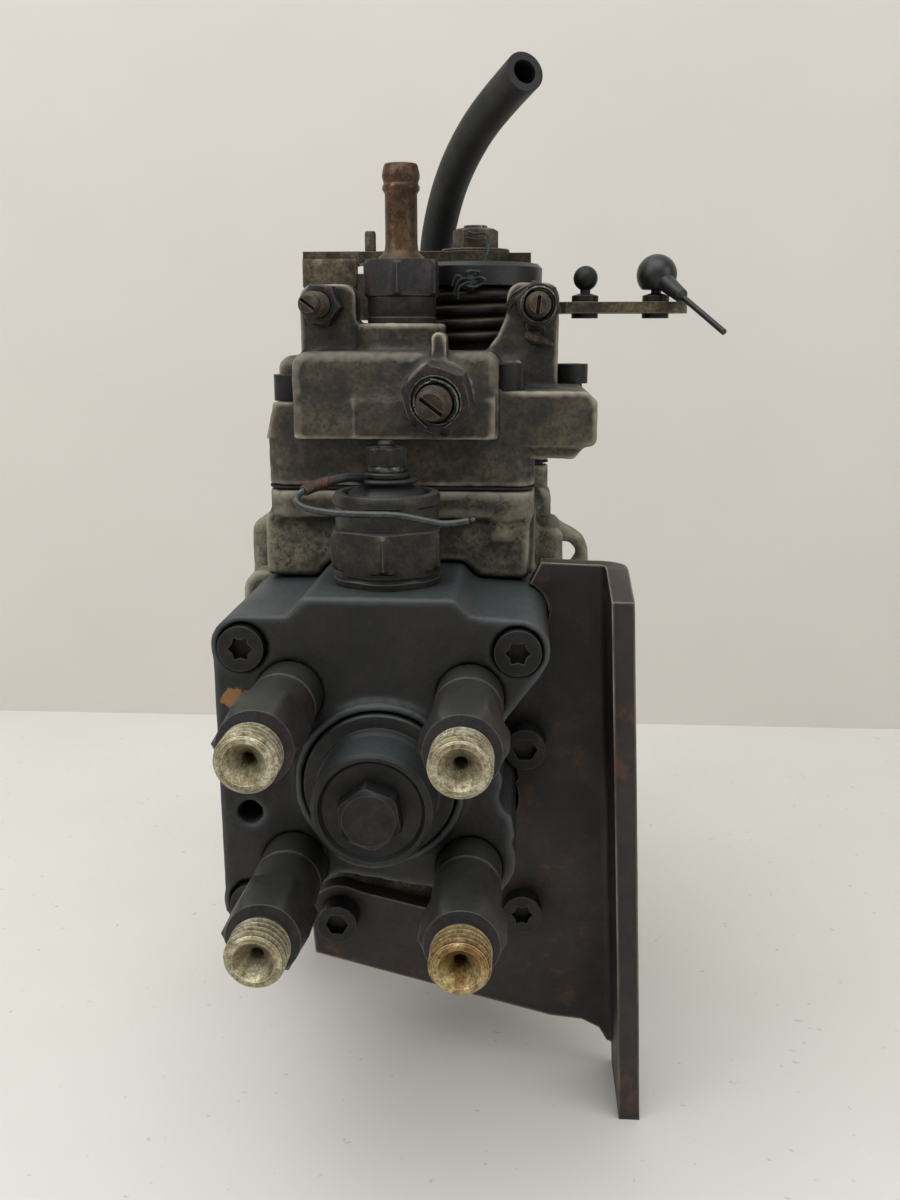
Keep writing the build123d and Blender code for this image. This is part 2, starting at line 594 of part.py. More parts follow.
def roller_ring():
    ring = tube((0, RING_REAR, 0), FRONT, RING_RADIUS, RING_INNER_RADIUS, RING_REAR - RING_FRONT)
    inner = ROLLER_CENTRE - ROLLER_LENGTH / 2 - FREE
    outer = ROLLER_CENTRE + ROLLER_LENGTH / 2 + FREE
    half = ROLLER_RADIUS + FREE
    for turn in range(4):
        pocket = block(inner, outer, ROLLER_Y + half, RING_FRONT - 1, -half, half)
        ring -= Rot(0, -90 * turn, 0) * pocket
    for turn in range(4):
        axis = roller_axis(turn)
        start = (axis[0] * (RING_INNER_RADIUS + 0.5), ROLLER_Y, axis[2] * (RING_INNER_RADIUS + 0.5))
        ring += rod(start, axis, ROLLER_PIN_RADIUS, RING_RADIUS - RING_INNER_RADIUS - 1)
    # pin that the advance piston pushes
    pin_top = -(ROLLER_CENTRE + ROLLER_LENGTH / 2 + 0.6)
    pin = rod((0, ADVANCE_Y, pin_top), DOWN, ADVANCE_PIN_RADIUS, pin_top - ADVANCE_Z)
    ball = Pos(0, ADVANCE_Y, ADVANCE_Z) * Sphere(ADVANCE_BALL_RADIUS)
    return ring + pin + ball


def cam_disc():
    peak = ROLLER_Y - ROLLER_RADIUS - ROLLER_GAP
    disc = rod((0, peak, 0), FRONT, CAM_RADIUS, peak - CAM_FRONT)
    valley_y = peak - CAM_LIFT + CAM_VALLEY_RADIUS
    for axis, start in ((RIGHT, (-40, valley_y, 0)), (UP, (0, valley_y, -40))):
        disc -= rod(start, axis, CAM_VALLEY_RADIUS, 80)
    disc -= rod((0, peak + 1, 0), FRONT, RING_INNER_RADIUS - 1, CAM_LIFT + 1.5)
    for side in (-1, 1):
        half = CLAW_WIDTH / 2
        inner, outer = side * CLAW_INNER, side * CLAW_OUTER
        disc += block(-half, half, DOG_END, peak - CAM_LIFT - 2, inner, outer)
    return disc


def pump_plunger():
    profile = [
        (0, 0),
        (FOOT_RADIUS, 0),
        (FOOT_RADIUS, FOOT_THICK),
        (PLUNGER_RADIUS, FOOT_THICK),
        (PLUNGER_RADIUS, CAM_FRONT - PLUNGER_END - 0.5),
        (PLUNGER_RADIUS - 0.5, CAM_FRONT - PLUNGER_END),
        (0, CAM_FRONT - PLUNGER_END),
    ]
    plunger = turned((0, CAM_FRONT, 0), FRONT, profile)
    for turn in range(4):
        floor = PLUNGER_RADIUS - 0.7
        groove = block(floor, PLUNGER_RADIUS + 1, PLUNGER_GROOVE_START, PLUNGER_END - 1, -0.8, 0.8)
        plunger -= Rot(0, 45 + 90 * turn, 0) * groove
    return plunger


def spring_bridge():
    rear = CAM_FRONT - FOOT_THICK
    bar = RectangleRounded(BRIDGE_LENGTH, BRIDGE_WIDTH, 4)
    bridge = slab(bar, rear, rear - BRIDGE_THICK)
    bridge += rod((0, rear, 0), FRONT, FOOT_RADIUS, BRIDGE_THICK)
    return bridge - rod((0, 0, 0), FRONT, PLUNGER_RADIUS + FREE, 90)


def plunger_springs():
    rear = CAM_FRONT - FOOT_THICK - BRIDGE_THICK
    length = rear - HOUSING_FACE + SPRING_POCKET_DEPTH
    radius = RETURN_SPRING_RADIUS - RETURN_SPRING_WIRE / 2
    return together(
        [
            coil((side * RETURN_SPRING_X, rear, 0), FRONT, radius, RETURN_SPRING_WIRE, length, 5)
            for side in (-1, 1)
        ]
    )


def control_spool():
    y = lever_plane()
    half = LEVER_BALL_RADIUS + 0.1
    spool = rod((0, SPOOL_REAR, 0), FRONT, SPOOL_RADIUS, SPOOL_REAR - SPOOL_FRONT)
    spool -= tube((0, y + half, 0), FRONT, SPOOL_RADIUS + 1, SPOOL_GROOVE_RADIUS, 2 * half)
    return spool - rod((0, 0, 0), FRONT, PLUNGER_RADIUS + RUN, 100)


# ================================================================ governor
def lever_plane():
    """The governor lever's mid plane."""
    return SLEEVE_END - 0.3 - LEVER_PLATE_THICK / 2


def cage_floor():
    """The face that the flyweights rest against."""
    return GEAR_REAR - GEAR_THICK - CAGE_FLOOR_THICK


def governor_cage():
    centre = (0, GEAR_REAR, GOVERNOR_AXIS_Z)
    first = -90 + 180 / GOVERNOR_TEETH
    gear = raised(centre, FRONT, gear_outline(GOVERNOR_TEETH, first), GEAR_THICK)
    wall_start = (0, cage_floor() + CAGE_FLOOR_THICK, GOVERNOR_AXIS_Z)
    cage = gear + rod(wall_start, FRONT, CAGE_RADIUS, CAGE_FLOOR_THICK)
    ring_start = (0, cage_floor(), GOVERNOR_AXIS_Z)
    cage += tube(ring_start, FRONT, CAGE_RADIUS, CAGE_RADIUS - CAGE_WALL, CAGE_LENGTH)
    half = WEIGHT_WIDTH / 2 + FREE
    for turn in range(2):
        window = block(-half, half, cage_floor(), cage_floor() - CAGE_LENGTH - 1, -20, 20)
        cage -= Pos(0, 0, GOVERNOR_AXIS_Z) * Rot(0, 90 * turn, 0) * window
    return cage - rod((0, 0, GOVERNOR_AXIS_Z), FRONT, GOVERNOR_SHAFT_RADIUS + RUN, 60)


def flyweight(turn):
    rear = cage_floor() - 0.4
    half = WEIGHT_WIDTH / 2
    toe_half = TOE_WIDTH / 2
    side = outline(
        [
            (rear, WEIGHT_INNER),
            (rear, WEIGHT_OUTER - 1.4),
            (rear - 1.4, WEIGHT_OUTER),
            (rear - WEIGHT_LENGTH, WEIGHT_OUTER),
            (rear - WEIGHT_LENGTH, WEIGHT_INNER),
        ]
    )
    weight = raised((-half, 0, 0), RIGHT, side, 2 * half)
    weight += block(-toe_half, toe_half, rear, rear - TOE_THICK, TOE_INNER, WEIGHT_INNER + 1)
    pin_start = (-half - FREE + 0.1, WEIGHT_PIVOT_Y, WEIGHT_PIVOT_Z)
    weight += rod(pin_start, RIGHT, 1.0, 2 * (half + FREE - 0.1))
    return Pos(0, 0, GOVERNOR_AXIS_Z) * Rot(0, 90 * turn, 0) * weight


def governor_shaft():
    rear = CAM_BORE_FLOOR + 8
    start = (0, rear, GOVERNOR_AXIS_Z)
    return rod(start, FRONT, GOVERNOR_SHAFT_RADIUS, rear - GOVERNOR_SHAFT_END)


def governor_sleeve():
    flange_rear = cage_floor() - 0.4 - TOE_THICK - 0.3
    front = (0, flange_rear, GOVERNOR_AXIS_Z)
    profile = [
        (0, 0),
        (SLEEVE_FLANGE_RADIUS, 0),
        (SLEEVE_FLANGE_RADIUS, SLEEVE_FLANGE_THICK),
        (SLEEVE_RADIUS, SLEEVE_FLANGE_THICK),
        (SLEEVE_RADIUS, flange_rear - SLEEVE_END - 1),
        (SLEEVE_RADIUS - 1, flange_rear - SLEEVE_END),
        (0, flange_rear - SLEEVE_END),
    ]
    sleeve = turned(front, FRONT, profile)
    depth = flange_rear - SLEEVE_BORE_END
    bore_at = (0, flange_rear + 1, GOVERNOR_AXIS_Z)
    return sleeve - rod(bore_at, FRONT, GOVERNOR_SHAFT_RADIUS + RUN, depth + 1)


def governor_levers():
    y = lever_plane()
    half = LEVER_PLATE_THICK / 2
    right_side = [(7, 12.4), (9, 26), (7, 60), (5, 64), (5, LEVER_TOP)]
    left_side = [(-x, z) for x, z in reversed(right_side)]
    shape = outline(right_side + left_side)
    lever = slab(shape, y + half, y - half)
    lever += rod((-29, y, LEVER_PIVOT_Z), RIGHT, LEVER_PIVOT_RADIUS, 58)
    for side in (-1, 1):
        lever += rod((side * 12 - 4, y, LEVER_PIVOT_Z), RIGHT, LEVER_PIVOT_RADIUS + 2, 8)
    lever += rod((0, y, 13), DOWN, 1.2, 13 - LEVER_BALL_Z)
    return lever + Pos(0, y, LEVER_BALL_Z) * Sphere(LEVER_BALL_RADIUS)


def governor_spring():
    rear = CRANK_PIN_Y - CRANK_PIN_RADIUS - 0.2
    front = lever_plane() + LEVER_PLATE_THICK / 2 + 0.2
    radius = GOVERNOR_SPRING_RADIUS - GOVERNOR_SPRING_WIRE / 2
    start = (CRANK_PIN_X, rear, GOVERNOR_SPRING_Z)
    return coil(start, FRONT, radius, GOVERNOR_SPRING_WIRE, rear - front, 6)


# ================================================================ injection advance
def advance_piston():
    start = (-ADVANCE_PISTON_HALF, ADVANCE_Y, ADVANCE_Z)
    piston = rod(start, RIGHT, ADVANCE_BORE_RADIUS - RUN, 2 * ADVANCE_PISTON_HALF)
    socket = ADVANCE_BALL_RADIUS + FREE
    piston -= rod((0, ADVANCE_Y, ADVANCE_Z - socket), UP, socket, 20)
    return piston - rod((10, ADVANCE_Y, ADVANCE_Z), RIGHT, ADVANCE_SPRING_RADIUS + 0.5, 11)


def advance_spring():
    radius = ADVANCE_SPRING_RADIUS - ADVANCE_SPRING_WIRE / 2
    start = (10, ADVANCE_Y, ADVANCE_Z)
    return coil(start, RIGHT, radius, ADVANCE_SPRING_WIRE, ADVANCE_HALF_LENGTH - 10, 6)


def advance_covers():
    half = ADVANCE_COVER_SIZE / 2
    covers = []
    for side in (-1, 1):
        plate = RectangleRounded(2 * half, 2 * half, 5)
        start = (side * ADVANCE_HALF_LENGTH, ADVANCE_Y, ADVANCE_Z)
        cover = raised(start, (side, 0, 0), plate, ADVANCE_COVER_THICK)
        for y, z in advance_screw_places():
            hole = (side * (ADVANCE_HALF_LENGTH - 1), y, z)
            cover -= rod(hole, (side, 0, 0), M6 + SEAT, ADVANCE_COVER_THICK + 2)
        covers.append(cover)
    return together(covers)


# ================================================================ distributor head
def head_block_outline():
    """The head's thick front part, without its screws and bores."""
    wall_x = -SCREW_X - EAR_LOBE + 0.5
    corners = [
        (wall_x, SCREW_Z),
        (-SCREW_X, SCREW_Z + EAR_LOBE),
        (-19, SCREW_Z + EAR_LOBE + 0.2),
        (-15.8, HEAD_TOP),
        (15.6, HEAD_TOP),
        (19.2, SCREW_Z + EAR_LOBE + 0.6),
        (SCREW_X, SCREW_Z + EAR_LOBE),
        (SCREW_X, SCREW_Z),
        (34.2, 24.8),
        (26.3, 14),
        (25.1, 4.4),
        (27.1, -2.5),
        (29.0, -12.5),
        (OUTLET_X, -OUTLET_Z - 6.5),
        (-9.3, -21.8),
        (-SCREW_X + 5, -SCREW_Z - 2),
        (wall_x, -SCREW_Z),
    ]
    shape = outline(corners)
    for sx, sz in ((-1, 1), (1, 1), (-1, -1)):
        shape += Pos(sx * SCREW_X, sz * SCREW_Z) * Circle(EAR_LOBE)
    shape += Pos(OUTLET_X + 0.4, -OUTLET_Z + 1.4) * Circle(9.7)
    x, z = CAP_SCREWS[0]
    return shape - Pos(x, z) * Circle(CAP_HEAD_RADIUS + 0.6)


def distributor_head():
    base = RectangleRounded(2 * HEAD_BASE_HALF, 2 * HEAD_BASE_HALF, 8)
    head = slab(base, HOUSING_FACE, HEAD_BASE_FACE)
    head += slab(head_block_outline(), HOUSING_FACE - 1, HEAD_FACE)
    head += rod((0, HEAD_FACE + 1, 0), FRONT, PLUG_RING_RADIUS, PLUG_RING_RISE + 1)
    head -= rod((0, HOUSING_FACE + 1, 0), FRONT, BARREL_RADIUS + SEAT, 60)
    head -= rod((0, PLUG_SEAT_FACE, 0), FRONT, PLUG_SEAT_RADIUS, 10)
    for x, z in at_outlets():
        head -= rod((x, VALVE_SEAT_FACE, z), FRONT, HOLDER_SHANK_RADIUS + SEAT, 40)
        head -= delivery_drilling(x, z)
    for x, z in head_screw_places():
        head -= rod((x, HOUSING_FACE + 1, z), FRONT, M6 + 0.3, 60)
    for x, z in head_screw_places()[:3]:
        head -= rod((x, HEAD_SCREW_FACE + TORX_HEAD_HEIGHT, z), FRONT, TORX_HEAD_RADIUS + 0.35, 10)
    x, z = head_screw_places()[3]
    head -= rod((x, HEAD_BASE_FACE + 5, z), FRONT, TORX_HEAD_RADIUS + 0.35, 10)
    x, z = CAP_SCREWS[0]
    head -= rod((x, HEAD_BASE_FACE - 1, z), REAR, M6 + SEAT, 12)
    for side in (-1, 1):
        pocket = (side * RETURN_SPRING_X, HOUSING_FACE + 1, 0)
        head -= rod(pocket, FRONT, RETURN_SPRING_RADIUS + 0.7, SPRING_POCKET_DEPTH + 1)
    head -= rod((0, SOLENOID_Y, SOLENOID_SHANK_END), UP, SOLENOID_SHANK_RADIUS + SEAT, 20)
    head -= rod((0, SOLENOID_Y, 5), UP, ARMATURE_RADIUS + 0.6, 25)
    return head - rod((BLEED_X, HEAD_FACE - 1, BLEED_Z), REAR, BLEED_RADIUS, BLEED_DEPTH + 1)


def delivery_drilling(x, z):
    """A slanted passage from the barrel to one delivery valve."""
    reach = math.hypot(x, z)
    inner = (x / reach * (BARREL_RADIUS - 1), -106, z / reach * (BARREL_RADIUS - 1))
    outer = (x, VALVE_SEAT_FACE - 1, z)
    direction = tuple(b - a for a, b in zip(inner, outer))
    return rod(inner, direction, 1.1, math.dist(inner, outer))


def distributor_barrel():
    length = HOUSING_FACE - BARREL_END
    barrel = tube((0, HOUSING_FACE, 0), FRONT, BARREL_RADIUS, PLUNGER_RADIUS + RUN, length)
    return barrel - rod((0, SOLENOID_Y, 3), UP, 1.5, 12)


def screw(at, axis, head_radius, head_height, shank, drive):
    """A screw whose head's outer face lies at a point, with its shank along axis."""
    body = rod(at, axis, head_radius, head_height) + rod(at, axis, M6, head_height + shank)
    recess = star(2.7)
    if drive == "hex":
        recess = RegularPolygon(CAP_KEY_FLATS / 2, 6, major_radius=False)
    return body - raised(at, axis, recess, 2.6)


def torx_screws():
    """The four head screws and the bracket's lower right screw."""
    places = head_screw_places()
    faces = [HEAD_SCREW_FACE] * 3 + [HEAD_BASE_FACE + 0.1]
    heights = [TORX_HEAD_HEIGHT] * 3 + [4.9]
    screws = []
    for (x, z), face, height in zip(places, faces, heights):
        shank = HEAD_SCREW_END - face - height
        screws.append(screw((x, face, z), REAR, TORX_HEAD_RADIUS, height, shank, "star"))
    x, z = LOW_TORX
    face = HEAD_BASE_FACE - PLATE_THICK - 4.5
    screws.append(screw((x, face, z), REAR, TORX_HEAD_RADIUS, 4.5, 15, "star"))
    return together(screws)


def head_plug():
    face = PLUG_SEAT_FACE - PLUG_FACE
    profile = [
        (PLUG_BOLT_RADIUS + SEAT, 0),
        (PLUG_FLANGE_RADIUS, 0),
        (PLUG_FLANGE_RADIUS, PLUG_FLANGE_THICK - 0.8),
        (PLUG_FLANGE_RADIUS - 0.8, PLUG_FLANGE_THICK),
        (PLUG_BODY_RADIUS, PLUG_FLANGE_THICK),
        (PLUG_BODY_RADIUS, face - 2.4),
        (PLUG_RIM_RADIUS, face),
        (PLUG_DISH_RADIUS, face),
        (PLUG_DISH_RADIUS, face - PLUG_DISH_DEPTH),
        (PLUG_BOLT_RADIUS + SEAT, face - PLUG_DISH_DEPTH),
    ]
    plug = turned((0, PLUG_SEAT_FACE, 0), FRONT, profile)
    plug += tube((0, PLUG_SEAT_FACE, 0), REAR, BARREL_RADIUS, PLUG_BOLT_RADIUS + SEAT, 2.3)
    # spanner flat on the upper left
    flat_start = PLUG_SEAT_FACE - PLUG_FLANGE_THICK - 0.2
    flat = block(-8, 8, flat_start, PLUG_FACE + 2.6, PLUG_BODY_RADIUS - 1.0, 20)
    return plug - Rot(0, -35, 0) * flat


def head_plug_bolt():
    rear = PLUG_FACE + PLUG_DISH_DEPTH
    bolt = hexagon((0, rear, 0), FRONT, PLUG_BOLT_FLATS, rear - PLUG_BOLT_FACE)
    return bolt + rod((0, rear, 0), REAR, PLUG_BOLT_RADIUS, PLUG_BOLT_END - rear)


def valve_holder(x, z):
    tip = HEAD_FACE - HOLDER_TIP
    shank = [
        (0, HEAD_FACE - HOLDER_SHANK_END),
        (HOLDER_SHANK_RADIUS, HEAD_FACE - HOLDER_SHANK_END),
        (HOLDER_SHANK_RADIUS, 0),
        (HOLDER_RADIUS, 0),
        (HOLDER_RADIUS, HEAD_FACE - HOLDER_HEX_REAR + 1),
        (HOLDER_NECK_RADIUS, HEAD_FACE - HOLDER_HEX_REAR + 1),
        (HOLDER_NECK_RADIUS, HEAD_FACE - HOLDER_THREAD_START),
        (HOLDER_THREAD_RADIUS, HEAD_FACE - HOLDER_THREAD_START),
        (HOLDER_THREAD_RADIUS, tip - 0.6),
        (HOLDER_THREAD_RADIUS - 0.6, tip),
        (0, tip),
    ]
    holder = turned((x, HEAD_FACE, z), FRONT, shank)
    hex_at = (x, HOLDER_HEX_REAR, z)
    holder += hexagon(hex_at, FRONT, HOLDER_FLATS, HOLDER_HEX_REAR - HOLDER_HEX_FRONT)
    chamber_length = HOLDER_SHANK_END - VALVE_CHAMBER_END
    holder -= rod((x, HOLDER_SHANK_END + 1, z), FRONT, VALVE_CHAMBER_RADIUS, chamber_length + 1)
    holder -= rod((x, VALVE_CHAMBER_END, z), FRONT, HOLDER_DRILL_RADIUS, 60)
    depth = HOLDER_MOUTH_DEPTH
    mouth = [(0, 0), (HOLDER_MOUTH_RADIUS, 0), (HOLDER_DRILL_RADIUS, depth), (0, depth)]
    return holder - turned((x, HOLDER_TIP, z), REAR, mouth)


def delivery_valve_holders():
    return together([valve_holder(x, z) for x, z in at_outlets()])


def delivery_valves():
    profile = [(0, 0), (2.2, 0), (2.2, 6), (3.6, 7.2), (3.6, 9.5), (1.6, 9.5), (1.6, 14), (0, 14)]
    return together([turned((x, VALVE_SEAT_FACE - 0.2, z), FRONT, profile) for x, z in at_outlets()])


def delivery_valve_springs():
    rear = VALVE_SEAT_FACE - 9.8
    length = rear - VALVE_CHAMBER_END
    return together([coil((x, rear, z), FRONT, 2.7, 1.1, length, 5) for x, z in at_outlets()])


# ================================================================ support bracket
def plate_outline():
    """The bracket's flat part, seen from the outlets."""
    x, z = CAP_SCREWS[1]
    lobe = 7.6
    shape = outline(
        [
            (31.2, 36),
            (31.9, 36.8),
            (34.2, 41.6),
            (52, 41),
            (58, -84.8),
            (53.6, -84.8),
            (51.5, -81.2),
            (47, -78.9),
            (38.8, -78.1),
            (-22.1, -62.3),
            (x - lobe, z),
            (x, z + lobe),
            (x + 4.5, z + 6.3),
            (8, -49),
            (15, -44),
            (20, -33),
            (20, 20),
        ]
    )
    shape += Pos(x, z) * Circle(lobe)
    return shape - offset(head_block_outline(), BRACKET_GAP)


def fold_line_x(z):
    """The folded side's outer face at a height."""
    return FOLD_TOP_X + (FOLD_TOP_Z - z) * math.tan(math.radians(BRACKET_LEAN))


def support_bracket():
    lean = math.radians(BRACKET_LEAN)
    down = (math.sin(lean), 0, -math.cos(lean))
    across = (math.cos(lean), 0, math.sin(lean))
    # L section, drawn across the lean, from its outer corner
    front = -(FOLD_FRONT - HEAD_BASE_FACE)
    reach = 120.0
    section = outline(
        [
            (0, 0),
            (0, front),
            (-PLATE_THICK, front),
            (-PLATE_THICK, PLATE_THICK),
            (-reach, PLATE_THICK),
            (-reach, 0),
        ]
    )
    outer = section.vertices().sort_by_distance((0, 0))[0]
    section = fillet(outer, FOLD_OUTER_RADIUS)
    inner = section.vertices().sort_by_distance((-PLATE_THICK, PLATE_THICK))[0]
    section = fillet(inner, FOLD_INNER_RADIUS)
    top_z = 60.0
    corner = (fold_line_x(top_z), HEAD_BASE_FACE, top_z)
    angle = Plane(origin=corner, x_dir=across, z_dir=down) * section
    folded = extrude(angle, 180)
    # outline from the front: the plate, and the strip that is folded forward
    strip = outline(
        [
            (fold_line_x(45) - PLATE_THICK - 2, 41.2),
            (fold_line_x(45) + 6, 41.2),
            (fold_line_x(TOE_Z) + 6, TOE_Z),
            (fold_line_x(TOE_Z) - PLATE_THICK - 0.01, TOE_Z),
            (fold_line_x(-85) - PLATE_THICK - 0.01, -85),
        ]
    )
    from_front = slab(plate_outline() + strip, HEAD_BASE_FACE + 5, FOLD_FRONT - 5)
    # outline from the side: chamfered top corner and a slight kink low down
    side = outline(
        [
            (HEAD_BASE_FACE + 5, 45),
            (HEAD_BASE_FACE - 8, 42),
            (FOLD_FRONT, 37.0),
            (FOLD_FRONT, -50),
            (FOLD_FRONT + 2.2, TOE_Z - 1),
            (HEAD_BASE_FACE + 5, TOE_Z - 1),
        ]
    )
    from_side = raised((-40, 0, 0), RIGHT, side, 120)
    bracket = folded & from_front & from_side
    for x, z in CAP_SCREWS + [LOW_TORX]:
        bracket -= rod((x, HEAD_BASE_FACE + 1, z), FRONT, M6 + 0.3, PLATE_THICK + 2)
    return bracket


# ================================================================ shut-off solenoid
def solenoid_body():
    at = (0, SOLENOID_Y, 0)
    start = HEAD_TOP + 0.05
    body = hexagon((0, SOLENOID_Y, start), UP, SOLENOID_FLATS, SOLENOID_HEX_TOP - start, across=(0, 1, 0))
    can = [
        (0, SOLENOID_HEX_TOP - 1),
        (SOLENOID_RADIUS - 0.3, SOLENOID_HEX_TOP - 1),
        (SOLENOID_RADIUS - 0.3, SOLENOID_RIM_Z - 3),
        (SOLENOID_RADIUS, SOLENOID_RIM_Z - 3),
        (SOLENOID_RADIUS, SOLENOID_RIM_Z),
        (SOLENOID_RADIUS - 2.2, SOLENOID_TOP),
        (9.02, SOLENOID_TOP),
        (9.02, SOLENOID_TOP - 1.5),
        (0, SOLENOID_TOP - 1.5),
    ]
    body += turned(at, UP, can)
    shank_length = start - SOLENOID_SHANK_END + 1
    body += rod((0, SOLENOID_Y, SOLENOID_SHANK_END), UP, SOLENOID_SHANK_RADIUS, shank_length)
    bore_depth = ARMATURE_TOP + ARMATURE_STROKE + 0.8 - SOLENOID_SHANK_END
    return body - rod((0, SOLENOID_Y, SOLENOID_SHANK_END - 1), UP, ARMATURE_RADIUS + RUN, bore_depth + 1)


def solenoid_insulator():
    base = SOLENOID_TOP - 1.5
    profile = [
        (TERMINAL_STUD_RADIUS + SEAT, base),
        (9.0, base),
        (9.0, SOLENOID_TOP + 0.2),
        (EYELET_RADIUS, INSULATOR_TOP),
        (TERMINAL_STUD_RADIUS + SEAT, INSULATOR_TOP),
    ]
    return turned((0, SOLENOID_Y, 0), UP, profile)


def solenoid_armature():
    profile = [
        (0, ARMATURE_TIP),
        (1.2, ARMATURE_TIP),
        (2.6, ARMATURE_TIP + 1.6),
        (2.6, ARMATURE_TIP + 5),
        (ARMATURE_RADIUS, ARMATURE_TIP + 6.5),
        (ARMATURE_RADIUS, ARMATURE_TOP),
        (0, ARMATURE_TOP),
    ]
    return turned((0, SOLENOID_Y, 0), UP, profile)


def terminal_nut():
    eyelet_top = INSULATOR_TOP + EYELET_THICK
    washer = rod((0, SOLENOID_Y, eyelet_top), UP, 5.1, TERMINAL_WASHER_TOP - eyelet_top)
    nut_at = (0, SOLENOID_Y, TERMINAL_WASHER_TOP)
    nut_part = hexagon(nut_at, UP, TERMINAL_FLATS, TERMINAL_NUT_TOP - TERMINAL_WASHER_TOP)
    stud_start = (0, SOLENOID_Y, SOLENOID_TOP - 1.5)
    stud = rod(stud_start, UP, TERMINAL_STUD_RADIUS, TERMINAL_STUD_TOP - SOLENOID_TOP + 1.5)
    return washer + nut_part + stud


# The wire's route from the crimp to its bare tip, in millimetres.
WIRE_POINTS = [
    (-15.2, -134.8, 62.3),
    (-17.2, -135.6, 61.2),
    (-16.2, -136.6, 59.4),
    (-12.6, -137.4, 58.5),
    (-7.5, -137.6, 58.0),
    (-2.0, -137.9, 57.9),
    (4.2, -137.8, 57.9),
    (10.2, -137.7, 56.7),
    (14.4, -137.2, 55.8),
    (18.6, -136.4, 56.6),
]
# The hose's route from the return fitting to its cut end, in millimetres.
HOSE_POINTS = [
    (4.6, -41.5, 100.0),
    (4.6, -41.5, 113.0),
    (7.0, -47.0, 124.8),
    (11.2, -57.0, 134.6),
    (17.2, -69.0, 142.4),
    (23.3, -79.5, 147.4),
    (28.7, -90.0, 150.6),
]


def wire_eyelet():
    """The cable eye under the terminal nut, with its sleeve and crimp."""
    eye_z = INSULATOR_TOP
    eye = rod((0, SOLENOID_Y, eye_z), UP, EYELET_RADIUS - 0.4, EYELET_THICK)
    end = Vector(*WIRE_POINTS[0])
    root = Vector(-3.6, -125.4, eye_z + 1.5)
    direction = (end - root).normalized()
    eye += rod(tuple(root), tuple(direction), 1.25, (end - root).length - 5.2)
    crimp_start = end - direction * 5.4
    eye += rod(tuple(crimp_start), tuple(direction), 1.45, 5.4)
    return eye - rod((0, SOLENOID_Y, eye_z - 1), UP, TERMINAL_STUD_RADIUS + SEAT, 3)


def route_radii(points):
    """The largest even bend radius at each inner point of a route."""
    vectors = [Vector(*p) for p in points]
    radii = []
    for a, b, c in zip(vectors, vectors[1:], vectors[2:]):
        half_turn = math.radians((b - a).get_angle(c - b)) / 2
        shorter = min((b - a).length, (c - b).length)
        radii.append(0.45 * shorter / math.tan(half_turn))
    return radii


def cord(points, section):
    """A cord along straight runs joined by tangent arcs."""
    radii = route_radii(points)
    print("bend radii:", [round(r, 1) for r in radii])
    path = FilletPolyline(*points, radius=radii)
    start = Plane(origin=path @ 0, z_dir=path % 0)
    return sweep(start * section, path=path)


def solenoid_wire():
    return cord(WIRE_POINTS, Circle(WIRE_DIAMETER / 2))


def fuel_hose():
    return cord(HOSE_POINTS, Circle(HOSE_DIAMETER / 2) - Circle(HOSE_BORE / 2))


# ================================================================ governor cover
def governor_cover():
    base = DECK_TOP + GASKET_THICK
    cover = raised((0, 0, base), UP, deck_outline(), RIM_TOP - base)
    for x, y in REAR_EARS:
        above_ear = block(x - 10, x + 10, y - 10, y + 10, EAR_TOP, RIM_TOP + 5)
        cover -= above_ear - block(DECK_LEFT + 0.1, DECK_RIGHT - 0.1, -110, -30, 50, 90)
    dome = block(DOME_LEFT, DOME_RIGHT, DECK_REAR - 1, DOME_FRONT, RIM_TOP - 1, COVER_TOP)
    dome = fillet(dome.edges().group_by(Axis.Z)[-1], 3)
    cover += dome
    box_bottom = RIM_TOP - 0.4
    corners = [(BOX_LEFT, box_bottom), (BOX_RIGHT, box_bottom), (BOX_RIGHT, BOX_TOP), (BOX_LEFT, BOX_TOP)]
    box_shape = outline(corners)
    box_shape = fillet(box_shape.vertices().sort_by(Axis.Y)[-2:], BOX_CORNER)
    box = slab(box_shape, DOME_FRONT + 6, BOX_FACE)
    front_edges = [e for e in box.edges() if abs(e.center().Y - BOX_FACE) < 0.01]
    upright = [e for e in front_edges if e.center().Z > RIM_TOP]
    cover += fillet(upright, BOX_ROUND)
    cover += cover_shoulders()
    cover += cover_lugs()
    cover -= cover_bores()
    return cover


def cover_shoulders():
    """The screw boss on the left and the flat casting on the right."""
    x, y = FRONT_SCREWS[0]
    left_shape = outline([(-30, 70), (-20, 70), (-20, LEFT_SEAT), (-28.0, LEFT_SEAT)])
    left = slab(left_shape, y + 6, DECK_FRONT)
    wide = outline(
        [
            (20, SHOULDER_BOTTOM + 2.8),
            (SHOULDER_RIGHT - 1, SHOULDER_BOTTOM + 2.8),
            (SHOULDER_RIGHT, SHOULDER_BOTTOM + 4),
            (SHOULDER_RIGHT, SHOULDER_TOP - 2.5),
            (SHOULDER_RIGHT - 2.5, SHOULDER_TOP),
            (20, SHOULDER_TOP),
        ]
    )
    lip = outline(
        [
            (20, SHOULDER_BOTTOM),
            (SHOULDER_RIGHT - 5, SHOULDER_BOTTOM),
            (SHOULDER_RIGHT - 2.6, SHOULDER_BOTTOM + 3),
            (20, SHOULDER_BOTTOM + 3),
        ]
    )
    return left + slab(wide, SHOULDER_REAR, DECK_FRONT) + slab(lip, SHOULDER_REAR - 2, DECK_FRONT + 0.8)


